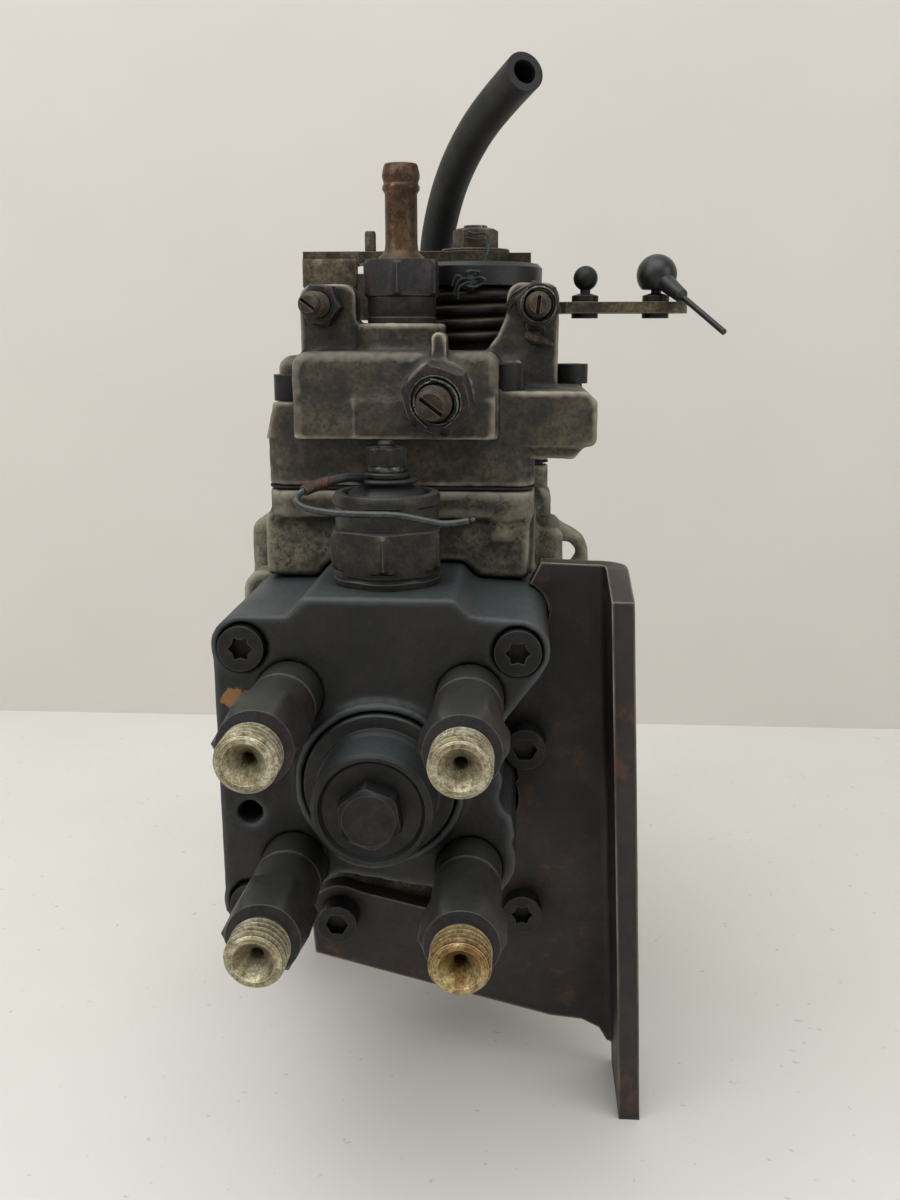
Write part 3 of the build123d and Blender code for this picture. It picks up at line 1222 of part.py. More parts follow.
def cover_lugs():
    """Bosses and lugs that stand on the cover."""
    lugs = rod((0, INLET_Y, COVER_TOP - 3), UP, INLET_BOSS_RADIUS, INLET_BOSS_TOP - COVER_TOP + 3)
    boss_height = LEVER_BOSS_TOP - COVER_TOP + 4
    lugs += rod((LEVER_X, LEVER_Y, COVER_TOP - 4), UP, LEVER_BOSS_RADIUS, boss_height)
    left = outline([(-23.8, 86), (-10.2, 86), (-10.2, 105), (-23.8, 105)])
    left = fillet(left.vertices().sort_by(Axis.Y)[-2:], 3.2)
    lugs += slab(left, LUG_BACK, LUG_FACE)
    right = outline(
        [
            (17, 82),
            (20.7, 90.0),
            (23.2, 93.2),
            (25.2, 98.0),
            (25.4, 105.3),
            (37.6, 105.3),
            (37.6, 80),
            (17, 80),
        ]
    )
    right = fillet(right.vertices().sort_by(Axis.Y)[-2:], 3.4)
    lugs += slab(right, LUG_BACK, LUG_FACE)
    ring = (LOAD_SCREW_X, BOX_FACE + 1, LOAD_SCREW_Z)
    lugs += rod(ring, FRONT, LOAD_BOSS_RADIUS, LOAD_BOSS_RISE + 1)
    rib_x = LOAD_SCREW_X - 0.2
    lugs += block(rib_x - 1.7, rib_x + 1.7, BOX_FACE - 0.6, BOX_FACE + 6, 86, 92.4)
    lugs += rod((rib_x, BOX_FACE - 0.6, 92.4), REAR, 1.7, 6.6)
    return_boss = (RETURN_X, RETURN_Y, COVER_TOP - 3)
    return lugs + rod(return_boss, UP, 7, 3 + RETURN_BOSS_RISE)


def cover_bores():
    left, right = DOME_LEFT + COVER_WALL, DOME_RIGHT - COVER_WALL
    cut = block(left, right, CAVITY_REAR, CAVITY_FRONT, 50, COVER_TOP - COVER_WALL)
    cut += rod((LEVER_X, LEVER_Y, 70), UP, LEVER_SHAFT_RADIUS + RUN, 50)
    load_bore = (LOAD_SCREW_X, CAVITY_FRONT + 4, LOAD_SCREW_Z)
    cut += rod(load_bore, FRONT, LOAD_SCREW_RADIUS + SEAT, 40)
    cut += rod((0, INLET_Y, COVER_TOP - COVER_WALL - 1), UP, INLET_SHANK_RADIUS + SEAT, 20)
    return_hole = (RETURN_X, RETURN_Y, COVER_TOP - COVER_WALL - 1)
    cut += rod(return_hole, UP, RETURN_SHANK_RADIUS + SEAT, 20)
    for x, y in REAR_EARS + FRONT_SCREWS:
        cut += rod((x, y, 55), UP, M6 + 0.3, 40)
    for (x, y), seat in zip(REAR_EARS + FRONT_SCREWS, (EAR_TOP, EAR_TOP, LEFT_SEAT, SHOULDER_TOP)):
        cut += rod((x, y, seat), UP, SCREW_RELIEF, 22)
    x, y = SIDE_SCREW
    cut += rod((x, y, SHOULDER_TOP + 1), DOWN, M6 + SEAT, 12)
    axis = left_screw_axis()
    start = (LEFT_SCREW_X - 20 * axis[0], LUG_FACE - 20 * axis[1], LEFT_SCREW_Z)
    cut += rod(start, axis, STOP_SCREW_RADIUS + SEAT, 40)
    cut += rod((RIGHT_SCREW_X, LUG_FACE - 5, RIGHT_SCREW_Z), REAR, STOP_SCREW_RADIUS + SEAT, 20)
    return cut


def cover_gasket():
    gasket = raised((0, 0, DECK_TOP), UP, deck_outline(), GASKET_THICK)
    gasket -= block(-CHAMBER_HALF_WIDTH, CHAMBER_HALF_WIDTH, CAVITY_REAR, CAVITY_FRONT, 50, 70)
    for x, y in REAR_EARS + FRONT_SCREWS:
        gasket -= rod((x, y, 50), UP, M6 + 0.3, 20)
    return gasket


def socket_screws():
    """The socket head screws of the bracket, the cover and the advance cylinder's covers."""
    face = HEAD_BASE_FACE - PLATE_THICK - CAP_HEAD_HEIGHT
    screws = [
        screw((x, face, z), REAR, CAP_HEAD_RADIUS, CAP_HEAD_HEIGHT, PLATE_THICK + 10, "hex")
        for x, z in CAP_SCREWS
    ]
    seats = [EAR_TOP, EAR_TOP, LEFT_SEAT, SHOULDER_TOP]
    for (x, y), seat in zip(REAR_EARS + FRONT_SCREWS, seats):
        shank = seat - DECK_TOP + 9
        top = (x, y, seat + CAP_HEAD_HEIGHT)
        screws.append(screw(top, DOWN, COVER_SCREW_HEAD, CAP_HEAD_HEIGHT, shank, "hex"))
    x, y = SIDE_SCREW
    screws.append(screw((x, y, SHOULDER_TOP + 5), DOWN, COVER_SCREW_HEAD, 5, 10, "hex"))
    for side in (-1, 1):
        for y, z in advance_screw_places():
            face = side * (ADVANCE_HALF_LENGTH + ADVANCE_COVER_THICK + 5)
            inward = (-side, 0, 0)
            shank = ADVANCE_COVER_THICK + 10
            screws.append(screw((face, y, z), inward, COVER_SCREW_HEAD, 5, shank, "hex"))
    return together(screws)


def slotted(at, axis, radius, length):
    """A grub screw with a slot across its outer end."""
    body = rod(at, axis, radius, length)
    return body - raised(at, axis, Rectangle(2 * radius + 1, 1.2), 1.6)


def left_screw_axis():
    yaw = math.radians(LEFT_SCREW_YAW)
    return (math.sin(yaw), math.cos(yaw), 0)


def adjusting_screws():
    """The full-load screw and the lever's two stop screws."""
    at = (LOAD_SCREW_X, LOAD_SCREW_TIP, LOAD_SCREW_Z)
    load = slotted(at, REAR, LOAD_SCREW_RADIUS, LOAD_SCREW_END - LOAD_SCREW_TIP)
    axis = left_screw_axis()
    start = (LEFT_SCREW_X - LEFT_REACH * axis[0], LUG_FACE - LEFT_REACH * axis[1], LEFT_SCREW_Z)
    tip_y = TAB_FRONT - 0.35 - STOP_SCREW_RADIUS * axis[0]
    left = slotted(start, axis, STOP_SCREW_RADIUS, LEFT_REACH + (tip_y - LUG_FACE) / axis[1])
    right_start = (RIGHT_SCREW_X, LUG_FACE - RIGHT_REACH, RIGHT_SCREW_Z)
    right_length = RIGHT_REACH + LUG_BACK - LUG_FACE + RIGHT_TIP
    right = slotted(right_start, REAR, STOP_SCREW_RADIUS, right_length)
    return together([load, left, right])


def nut(at, axis, flats, thick, bore):
    return hexagon(at, axis, flats, thick) - rod(at, axis, bore + SEAT, thick)


def lock_nuts():
    load_face = BOX_FACE - LOAD_BOSS_RISE
    load_at = (LOAD_SCREW_X, load_face, LOAD_SCREW_Z)
    load = nut(load_at, FRONT, LOAD_NUT_FLATS, LOAD_NUT_THICK, LOAD_SCREW_RADIUS)
    axis = left_screw_axis()
    gap = 2.3
    left_at = (LEFT_SCREW_X - gap * axis[0], LUG_FACE - gap * axis[1], LEFT_SCREW_Z)
    left = nut(left_at, tuple(-a for a in axis), STOP_NUT_FLATS, STOP_NUT_THICK, STOP_SCREW_RADIUS)
    right_at = (RIGHT_SCREW_X, LUG_FACE, RIGHT_SCREW_Z)
    right = nut(right_at, FRONT, STOP_NUT_FLATS, STOP_NUT_THICK, STOP_SCREW_RADIUS)
    return together([load, left, right])


def inlet_fitting():
    shank_end = COVER_TOP - COVER_WALL
    profile = [
        (INLET_BORE_RADIUS, shank_end),
        (INLET_SHANK_RADIUS, shank_end),
        (INLET_SHANK_RADIUS, INLET_BOSS_TOP),
        (INLET_COLLAR_RADIUS, INLET_BOSS_TOP),
        (INLET_COLLAR_RADIUS, INLET_HEX_REST + 0.5),
        (INLET_TUBE_RADIUS, INLET_HEX_REST + 0.5),
        (INLET_TUBE_RADIUS + 1.6, INLET_HEX_TOP),
        (INLET_TUBE_RADIUS, INLET_HEX_TOP + 2),
        (INLET_TUBE_RADIUS, INLET_TOP - 0.4),
        (INLET_TUBE_RADIUS - 0.3, INLET_TOP),
        (INLET_BORE_RADIUS, INLET_TOP),
    ]
    fitting = turned((0, INLET_Y, 0), UP, profile)
    nut_height = INLET_HEX_TOP - INLET_HEX_REST
    nut_part = hexagon((0, INLET_Y, INLET_HEX_REST), UP, INLET_FLATS, nut_height, across=REAR)
    nut_part -= rod((0, INLET_Y, INLET_HEX_REST - 1), UP, INLET_BORE_RADIUS, 20)
    return fitting + nut_part


def return_fitting():
    boss_top = COVER_TOP + RETURN_BOSS_RISE
    profile = [
        (BARB_BORE_RADIUS, COVER_TOP - COVER_WALL),
        (RETURN_SHANK_RADIUS, COVER_TOP - COVER_WALL),
        (RETURN_SHANK_RADIUS, boss_top),
        (BARB_RADIUS - 0.2, boss_top),
        (BARB_RADIUS - 0.2, BARB_TOP - 3),
        (BARB_RADIUS, BARB_TOP - 2.6),
        (BARB_RADIUS - 0.8, BARB_TOP),
        (BARB_BORE_RADIUS, BARB_TOP),
    ]
    fitting = turned((RETURN_X, RETURN_Y, 0), UP, profile)
    at = (RETURN_X, RETURN_Y, boss_top)
    hex_part = hexagon(at, UP, RETURN_FLATS, HOSE_START_Z - boss_top)
    hex_part -= rod((RETURN_X, RETURN_Y, boss_top - 1), UP, BARB_BORE_RADIUS, 20)
    return fitting + hex_part


# ================================================================ control lever
def lever_shaft():
    top = CAP_TOP + HUB_THICK
    shaft = rod((LEVER_X, LEVER_Y, CRANK_Z), UP, LEVER_SHAFT_RADIUS, top - CRANK_Z)
    shaft += rod((LEVER_X, LEVER_Y, top), UP, LEVER_THREAD_RADIUS, LEVER_NUT_TOP - top + 0.8)
    arm = Vector(LEVER_X - CRANK_PIN_X, LEVER_Y - CRANK_PIN_Y)
    middle = ((LEVER_X + CRANK_PIN_X) / 2, (LEVER_Y + CRANK_PIN_Y) / 2, CRANK_Z)
    web = raised(middle, UP, Rectangle(arm.length, 5), CRANK_THICK, across=tuple(arm.normalized()))
    pin_at = (CRANK_PIN_X, CRANK_PIN_Y, CRANK_Z)
    pin_base = rod(pin_at, UP, CRANK_PIN_RADIUS + 1, CRANK_THICK)
    pin = rod(pin_at, UP, CRANK_PIN_RADIUS, GOVERNOR_SPRING_Z + GOVERNOR_SPRING_RADIUS - CRANK_Z)
    return shaft + web + pin_base + pin


def lever_spring():
    length = RETURN_COIL_TOP - RETURN_COIL_BOTTOM
    start = (LEVER_X, LEVER_Y, RETURN_COIL_BOTTOM)
    return coil(start, UP, RETURN_COIL_RADIUS, RETURN_COIL_WIRE, length, RETURN_COIL_TURNS)


def spring_cap():
    base = RETURN_COIL_TOP + 0.3
    bore = LEVER_SHAFT_RADIUS + SEAT
    cap = tube((LEVER_X, LEVER_Y, base), UP, CAP_RADIUS, bore, CAP_TOP - base)
    top_edges = [e for e in cap.edges().filter_by(GeomType.CIRCLE) if e.radius > 10]
    return chamfer(max(top_edges, key=lambda e: e.center().Z), 1.0)


def control_lever():
    start = (LEVER_X, LEVER_Y, CAP_TOP)
    lever = rod(start, UP, HUB_RADIUS, HUB_THICK)
    # rear strip: out over the spring's cap, down behind it and out to the right
    half = ARM_WIDTH / 2
    drop_y = LEVER_Y + CAP_RADIUS + 1.2
    strip_y = drop_y + ARM_THICK
    hub_top = CAP_TOP + HUB_THICK
    lever += block(STRIP_LEFT, STRIP_RIGHT, LEVER_Y, strip_y, CAP_TOP, hub_top)
    lever += block(STRIP_LEFT, STRIP_RIGHT, drop_y, strip_y, ARM_Z, CAP_TOP + 1)
    arm_shape = outline(
        [
            (STRIP_LEFT, drop_y),
            (STRIP_LEFT, strip_y),
            (STRIP_RIGHT, strip_y),
            (ARM_KNEE_X + 3, LEVER_Y + half),
            (ARM_END_X - half, LEVER_Y + half),
            (ARM_END_X - half, LEVER_Y - half),
            (ARM_KNEE_X, LEVER_Y - half),
        ]
    )
    arm_shape += Pos(ARM_END_X - half, LEVER_Y) * Circle(half)
    arm_shape -= Pos(LEVER_X, LEVER_Y) * Circle(CAP_RADIUS + 1.1)
    lever += raised((0, 0, ARM_Z), UP, arm_shape, ARM_THICK)
    # left arm with its tab turned down onto the stop screw
    tab_back = TAB_FRONT + TAB_THICK
    lever += block(TAB_LEFT, LEVER_X, TAB_FRONT, LEVER_Y + 4, CAP_TOP, hub_top)
    tab = block(TAB_LEFT, TAB_RIGHT, TAB_FRONT, tab_back, TAB_BOTTOM, hub_top)
    tab += block(TONGUE_LEFT, TONGUE_RIGHT, TAB_FRONT, tab_back, TONGUE_BOTTOM, TAB_BOTTOM + 3)
    lever += tab
    lever -= rod((LEVER_X, LEVER_Y, 100), UP, LEVER_SHAFT_RADIUS + SEAT, 30)
    for x in (BALL_1_X, BALL_2_X):
        lever -= rod((x, LEVER_Y, ARM_Z - 1), UP, 2.5 + SEAT, 10)
    return lever


def lever_nut():
    base = CAP_TOP + HUB_THICK
    at = (LEVER_X, LEVER_Y, base)
    return nut(at, UP, LEVER_NUT_FLATS, LEVER_NUT_TOP - base, LEVER_THREAD_RADIUS)


def ball_stud(x, ball_z, ball_radius):
    arm_top = ARM_Z + ARM_THICK
    profile = [
        (0, ARM_Z - 1.2),
        (3.4, ARM_Z - 1.2),
        (3.4, ARM_Z - 0.01),
        (2.5, ARM_Z - 0.01),
        (2.5, arm_top),
        (3.4, arm_top),
        (3.4, arm_top + 1.6),
        (1.3, arm_top + 2.2),
        (1.3, ball_z),
        (0, ball_z),
    ]
    return turned((x, LEVER_Y, 0), UP, profile) + Pos(x, LEVER_Y, ball_z) * Sphere(ball_radius)


def ball_studs():
    return together(
        [ball_stud(BALL_1_X, BALL_1_Z, BALL_1_RADIUS), ball_stud(BALL_2_X, BALL_2_Z, BALL_2_RADIUS)]
    )


ROD_TIP = (76.6, -86.0, 94.0)


def link_socket():
    """The ball socket with the start of its rod."""
    centre = Vector(BALL_2_X, LEVER_Y, BALL_2_Z)
    socket = Pos(*centre) * Sphere(SOCKET_RADIUS)
    socket -= Pos(*centre) * Sphere(BALL_2_RADIUS + 0.15)
    below = (BALL_2_X, LEVER_Y, BALL_2_Z - SOCKET_RADIUS - 1)
    socket -= rod(below, UP, SOCKET_RADIUS + 1, SOCKET_RADIUS - 2.6)
    socket -= rod(below, UP, BALL_2_RADIUS - 0.3, SOCKET_RADIUS + 1)
    direction = (Vector(*ROD_TIP) - centre).normalized()
    neck_at = centre + direction * (SOCKET_RADIUS - 0.9)
    profile = [(0, 0), (2.3, 0), (1.7, 7.5), (0.9, 8.6), (0, 8.6)]
    start = centre + direction * (SOCKET_RADIUS + 7.0)
    wire = rod(tuple(start), tuple(direction), 0.75, (Vector(*ROD_TIP) - start).length)
    return socket + turned(tuple(neck_at), tuple(direction), profile) + wire


# ================================================================ write the nodes
nodes = {
    "pump_housing": pump_housing(),
    "shaft_bush": shaft_bush(),
    "shaft_seal": shaft_seal(),
    "feed_pump_ring": feed_pump_ring(),
    "feed_pump_rotor": feed_pump_rotor(),
    "feed_pump_vanes": feed_pump_vanes(),
    "feed_pump_plate": feed_pump_plate(),
    "drive_shaft": drive_shaft(),
    "shaft_key": shaft_key(),
    "drive_gear": drive_gear(),
    "cross_coupling": cross_coupling(),
    "roller_ring": roller_ring(),
    "cam_rollers": together([roller(turn) for turn in range(4)]),
    "cam_disc": cam_disc(),
    "pump_plunger": pump_plunger(),
    "spring_bridge": spring_bridge(),
    "plunger_springs": plunger_springs(),
    "control_spool": control_spool(),
    "governor_cage": governor_cage(),
    "governor_shaft": governor_shaft(),
    "governor_sleeve": governor_sleeve(),
    "governor_levers": governor_levers(),
    "governor_spring": governor_spring(),
    "advance_piston": advance_piston(),
    "advance_spring": advance_spring(),
    "advance_covers": advance_covers(),
    "distributor_head": distributor_head(),
    "distributor_barrel": distributor_barrel(),
    "torx_screws": torx_screws(),
    "head_plug": head_plug(),
    "head_plug_bolt": head_plug_bolt(),
    "delivery_valve_holders": delivery_valve_holders(),
    "delivery_valves": delivery_valves(),
    "delivery_valve_springs": delivery_valve_springs(),
    "support_bracket": support_bracket(),
    "solenoid_body": solenoid_body(),
    "solenoid_insulator": solenoid_insulator(),
    "solenoid_armature": solenoid_armature(),
    "terminal_nut": terminal_nut(),
    "wire_eyelet": wire_eyelet(),
    "solenoid_wire": solenoid_wire(),
    "governor_cover": governor_cover(),
    "cover_gasket": cover_gasket(),
    "socket_screws": socket_screws(),
    "adjusting_screws": adjusting_screws(),
    "lock_nuts": lock_nuts(),
    "inlet_fitting": inlet_fitting(),
    "return_fitting": return_fitting(),
    "fuel_hose": fuel_hose(),
    "lever_shaft": lever_shaft(),
    "lever_spring": lever_spring(),
    "spring_cap": spring_cap(),
    "control_lever": control_lever(),
    "lever_nut": lever_nut(),
    "ball_studs": ball_studs(),
    "link_socket": link_socket(),
}
for turn in range(4):
    nodes[f"flyweight_{turn + 1}"] = flyweight(turn)

os.makedirs("parts", exist_ok=True)
for name, shape in nodes.items():
    export_step(shape, f"parts/{name}.step")
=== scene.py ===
import math
import bmesh
import bpy
import mathutils
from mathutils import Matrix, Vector


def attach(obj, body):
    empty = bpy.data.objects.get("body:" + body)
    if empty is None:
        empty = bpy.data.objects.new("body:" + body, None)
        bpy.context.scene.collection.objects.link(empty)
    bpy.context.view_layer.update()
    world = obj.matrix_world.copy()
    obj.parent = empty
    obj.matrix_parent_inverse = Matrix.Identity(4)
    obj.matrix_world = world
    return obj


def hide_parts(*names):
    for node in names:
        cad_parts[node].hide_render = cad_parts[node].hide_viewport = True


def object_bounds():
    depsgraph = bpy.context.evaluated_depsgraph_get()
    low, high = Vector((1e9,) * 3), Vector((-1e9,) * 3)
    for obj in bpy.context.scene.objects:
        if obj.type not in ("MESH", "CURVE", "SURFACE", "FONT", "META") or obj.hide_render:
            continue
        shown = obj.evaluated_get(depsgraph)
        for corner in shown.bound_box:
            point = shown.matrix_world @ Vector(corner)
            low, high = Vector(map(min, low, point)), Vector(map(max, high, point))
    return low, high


# A rotary distributor injection pump, used and oily, seen from its delivery outlets.
# Sizes and places in this file are in millimetres unless a name says otherwise.
# +Y runs towards the engine, -Y towards the outlets, +X to the right, +Z up.

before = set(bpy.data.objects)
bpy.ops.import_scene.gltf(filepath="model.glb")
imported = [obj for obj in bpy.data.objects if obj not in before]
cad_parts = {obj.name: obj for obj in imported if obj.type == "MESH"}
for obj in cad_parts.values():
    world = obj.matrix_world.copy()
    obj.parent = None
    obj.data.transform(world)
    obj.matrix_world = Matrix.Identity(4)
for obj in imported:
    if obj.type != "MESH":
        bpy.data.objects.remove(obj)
cad_low, cad_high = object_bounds()

MM = 0.001
FRONT, REAR = Vector((0, -1, 0)), Vector((0, 1, 0))
UP, RIGHT = Vector((0, 0, 1)), Vector((1, 0, 0))


# ======== camera
CAMERA_PLACE = (28.47, -357.25, 93.33)
CAMERA_PITCH, CAMERA_TURN = 13.545, 3.540  # degrees down, and to the left
CAMERA_LENS, CAMERA_SENSOR = 33.0, 36.0  # the sensor's height, in its own millimetres

camera_data = bpy.data.cameras.new("camera")
camera_data.sensor_fit = "AUTO"
camera_data.sensor_width = CAMERA_SENSOR
camera_data.lens = CAMERA_LENS
camera = bpy.data.objects.new("camera", camera_data)
camera.location = Vector(CAMERA_PLACE) * MM
camera.rotation_euler = (math.radians(90 - CAMERA_PITCH), 0, math.radians(CAMERA_TURN))
bpy.context.collection.objects.link(camera)
bpy.context.scene.camera = camera


# ======== material helpers
def linear(code):
    """An sRGB hex colour as linear red, green, blue and alpha."""
    channels = [int(code[i : i + 2], 16) / 255 for i in (0, 2, 4)]
    return [((c + 0.055) / 1.055) ** 2.4 if c > 0.04045 else c / 12.92 for c in channels] + [1.0]


def add(tree, kind, inputs=None, **settings):
    """A new node with its settings, and its inputs set or linked."""
    made = tree.nodes.new(kind)
    for name, value in settings.items():
        setattr(made, name, value)
    for name, value in (inputs or {}).items():
        if isinstance(value, bpy.types.NodeSocket):
            tree.links.new(value, made.inputs[name])
        else:
            made.inputs[name].default_value = value
    return made


def per_metre(size):
    """The pattern scale that gives features of a size in millimetres."""
    return 1 / (size * MM)


def new_material(name):
    """An empty material and its tree."""
    material = bpy.data.materials.new(name)
    material.use_nodes = True
    material.node_tree.nodes.clear()
    return material, material.node_tree


def share(tree, *ranges):
    """How much of a layer shows: one value, or the product of several, each taken from one range to another.

    Each is (value, low, high, share at low, share at high), and is held at its ends.
    """
    product = None
    for value, low, high, at_low, at_high in ranges:
        inputs = {0: value, 1: low, 2: high, 3: at_low, 4: at_high}
        part = add(tree, "ShaderNodeMapRange", inputs, clamp=True).outputs[0]
        if product is not None:
            part = add(tree, "ShaderNodeMath", {0: product, 1: part}, operation="MULTIPLY").outputs[0]
        product = part
    return product


def lay(tree, colour, tint, *ranges):
    """A colour with a tint laid over it, by the share that the ranges give."""
    inputs = {0: share(tree, *ranges), 6: colour, 7: linear(tint)}
    return add(tree, "ShaderNodeMix", inputs, data_type="RGBA").outputs[2]


SPECK_SIZE = 0.9
STAIN_FADE, STAIN_SHARE = 0.35, 0.85  # the width of a stain's soft rim, and how much it covers


def worn(
    name, base, patch, patch_size=14.0, dirt_and_shade="0c0a08", dirt_and_shade_share=0.75, corner_reach=7.0,
    edge=None, edge_share=0.6, edge_width=0.7, round_edge=0.5, cast=False, dust_and_top_light=None, dust_and_top_light_share=0.5,
    speck=None, speck_share=0.5, spot=None, spot_share=0.5, stain=None,
    grain=1.2, grain_height=0.10, metal=0.0, rough=(0.45, 0.75),
):
    """A used surface: two base colours in patches, dirt and painted shade in corners, dust and painted top
    light on upward faces, edges rubbed bright.

    A casting's wear follows the curvature of its mesh, and any other piece's its bevelled normal.
    """
    material, tree = new_material(name)
    place = add(tree, "ShaderNodeTexCoord").outputs["Object"]
    geometry = add(tree, "ShaderNodeNewGeometry")
    # each pattern is (the size of its features, detail, roughness)
    patterns = {
        "patches": (patch_size, 5.0, 0.62),
        "grain": (grain, 3.0, 0.6),
        "blotches": (patch_size * 0.22, 4.0, 0.7),
    }
    if spot:
        patterns["spots"] = (patch_size * 0.45, 6.0, 0.7)
    if speck:
        patterns["specks"] = (SPECK_SIZE, 2.0, 0.5)
    clouds = {}
    for label, (size, detail, uneven) in patterns.items():
        inputs = {"Vector": place, "Scale": per_metre(size), "Detail": detail, "Roughness": uneven}
        clouds[label] = add(tree, "ShaderNodeTexNoise", inputs).outputs["Fac"]
    patches, fine, blotches = clouds["patches"], clouds["grain"], clouds["blotches"]

    colour = lay(tree, linear(base), patch, (patches, 0.42, 0.58, 0.0, 1.0))
    colour = lay(tree, colour, dirt_and_shade, (blotches, 0.46, 0.62, 0.0, 0.55))
    colour = lay(tree, colour, dirt_and_shade, (fine, 0.42, 0.62, 0.0, 0.45))
    if spot:
        colour = lay(tree, colour, spot, (clouds["spots"], 0.56, 0.66, 0.0, spot_share))
    if speck:
        colour = lay(tree, colour, speck, (clouds["specks"], 0.60, 0.68, 0.0, speck_share))
    # dust and painted top light: faces turned upwards take a lighter tint, unevenly
    if dust_and_top_light:
        up = add(tree, "ShaderNodeSeparateXYZ", {0: geometry.outputs["Normal"]}).outputs[2]
        uneven_film = (fine, 0.2, 0.6, 0.45 * dust_and_top_light_share, dust_and_top_light_share)
        colour = lay(tree, colour, dust_and_top_light, (up, 0.35, 0.95, 0.0, 1.0), uneven_film)
    if stain:
        centre, reach, tint = stain
        inputs = {0: place, 1: [c * MM for c in centre]}
        away = add(tree, "ShaderNodeVectorMath", inputs, operation="DISTANCE").outputs["Value"]
        inputs = {0: blotches, 1: reach * MM}
        ragged = add(tree, "ShaderNodeMath", inputs, operation="MULTIPLY").outputs[0]
        inside = add(tree, "ShaderNodeMath", {0: away, 1: ragged}, operation="SUBTRACT").outputs[0]
        colour = lay(tree, colour, tint, (inside, 0.0, -STAIN_FADE * MM, 0.0, STAIN_SHARE))
    # painted shade and grime: the colour goes darker in corners and crevices, as far as the ambient occlusion
    # reaches
    inputs = {"Distance": corner_reach * MM}
    corner = add(tree, "ShaderNodeAmbientOcclusion", inputs, samples=6).outputs["AO"]
    colour = lay(tree, colour, dirt_and_shade, (corner, 0.35, 0.95, dirt_and_shade_share, 0.0))
    roughness = share(tree, (patches, 0.3, 0.7, *rough))
    if edge:
        if cast:
            convex = (geometry.outputs["Pointiness"], 0.506, 0.55, 0.0, 1.0)
        else:
            wide = add(tree, "ShaderNodeBevel", {"Radius": edge_width * MM}, samples=6).outputs[0]
            inputs = {0: wide, 1: geometry.outputs["Normal"]}
            same = add(tree, "ShaderNodeVectorMath", inputs, operation="DOT_PRODUCT").outputs["Value"]
            convex = (same, 0.985, 0.86, 0.0, 1.0)
        here_and_there = (patches, 0.35, 0.6, 0.25, 1.0)
        in_the_open = (corner, 0.45, 0.8, 0.0, edge_share)
        colour = lay(tree, colour, edge, convex, here_and_there, in_the_open)
    bump_inputs = {"Strength": 1.0, "Distance": grain_height * MM, "Height": fine}
    if cast:
        # painted shade and grime in a casting's hollows, where its mesh curves inwards
        colour = lay(tree, colour, dirt_and_shade, (geometry.outputs["Pointiness"], 0.492, 0.455, 0.0, dirt_and_shade_share))
    else:
        inputs = {"Radius": round_edge * MM}
        bump_inputs["Normal"] = add(tree, "ShaderNodeBevel", inputs, samples=4).outputs[0]
    bump = add(tree, "ShaderNodeBump", bump_inputs).outputs[0]
    inputs = {"Base Color": colour, "Metallic": metal, "Roughness": roughness, "Normal": bump}
    shader = add(tree, "ShaderNodeBsdfPrincipled", inputs)
    add(tree, "ShaderNodeOutputMaterial", {"Surface": shader.outputs[0]})
    return material


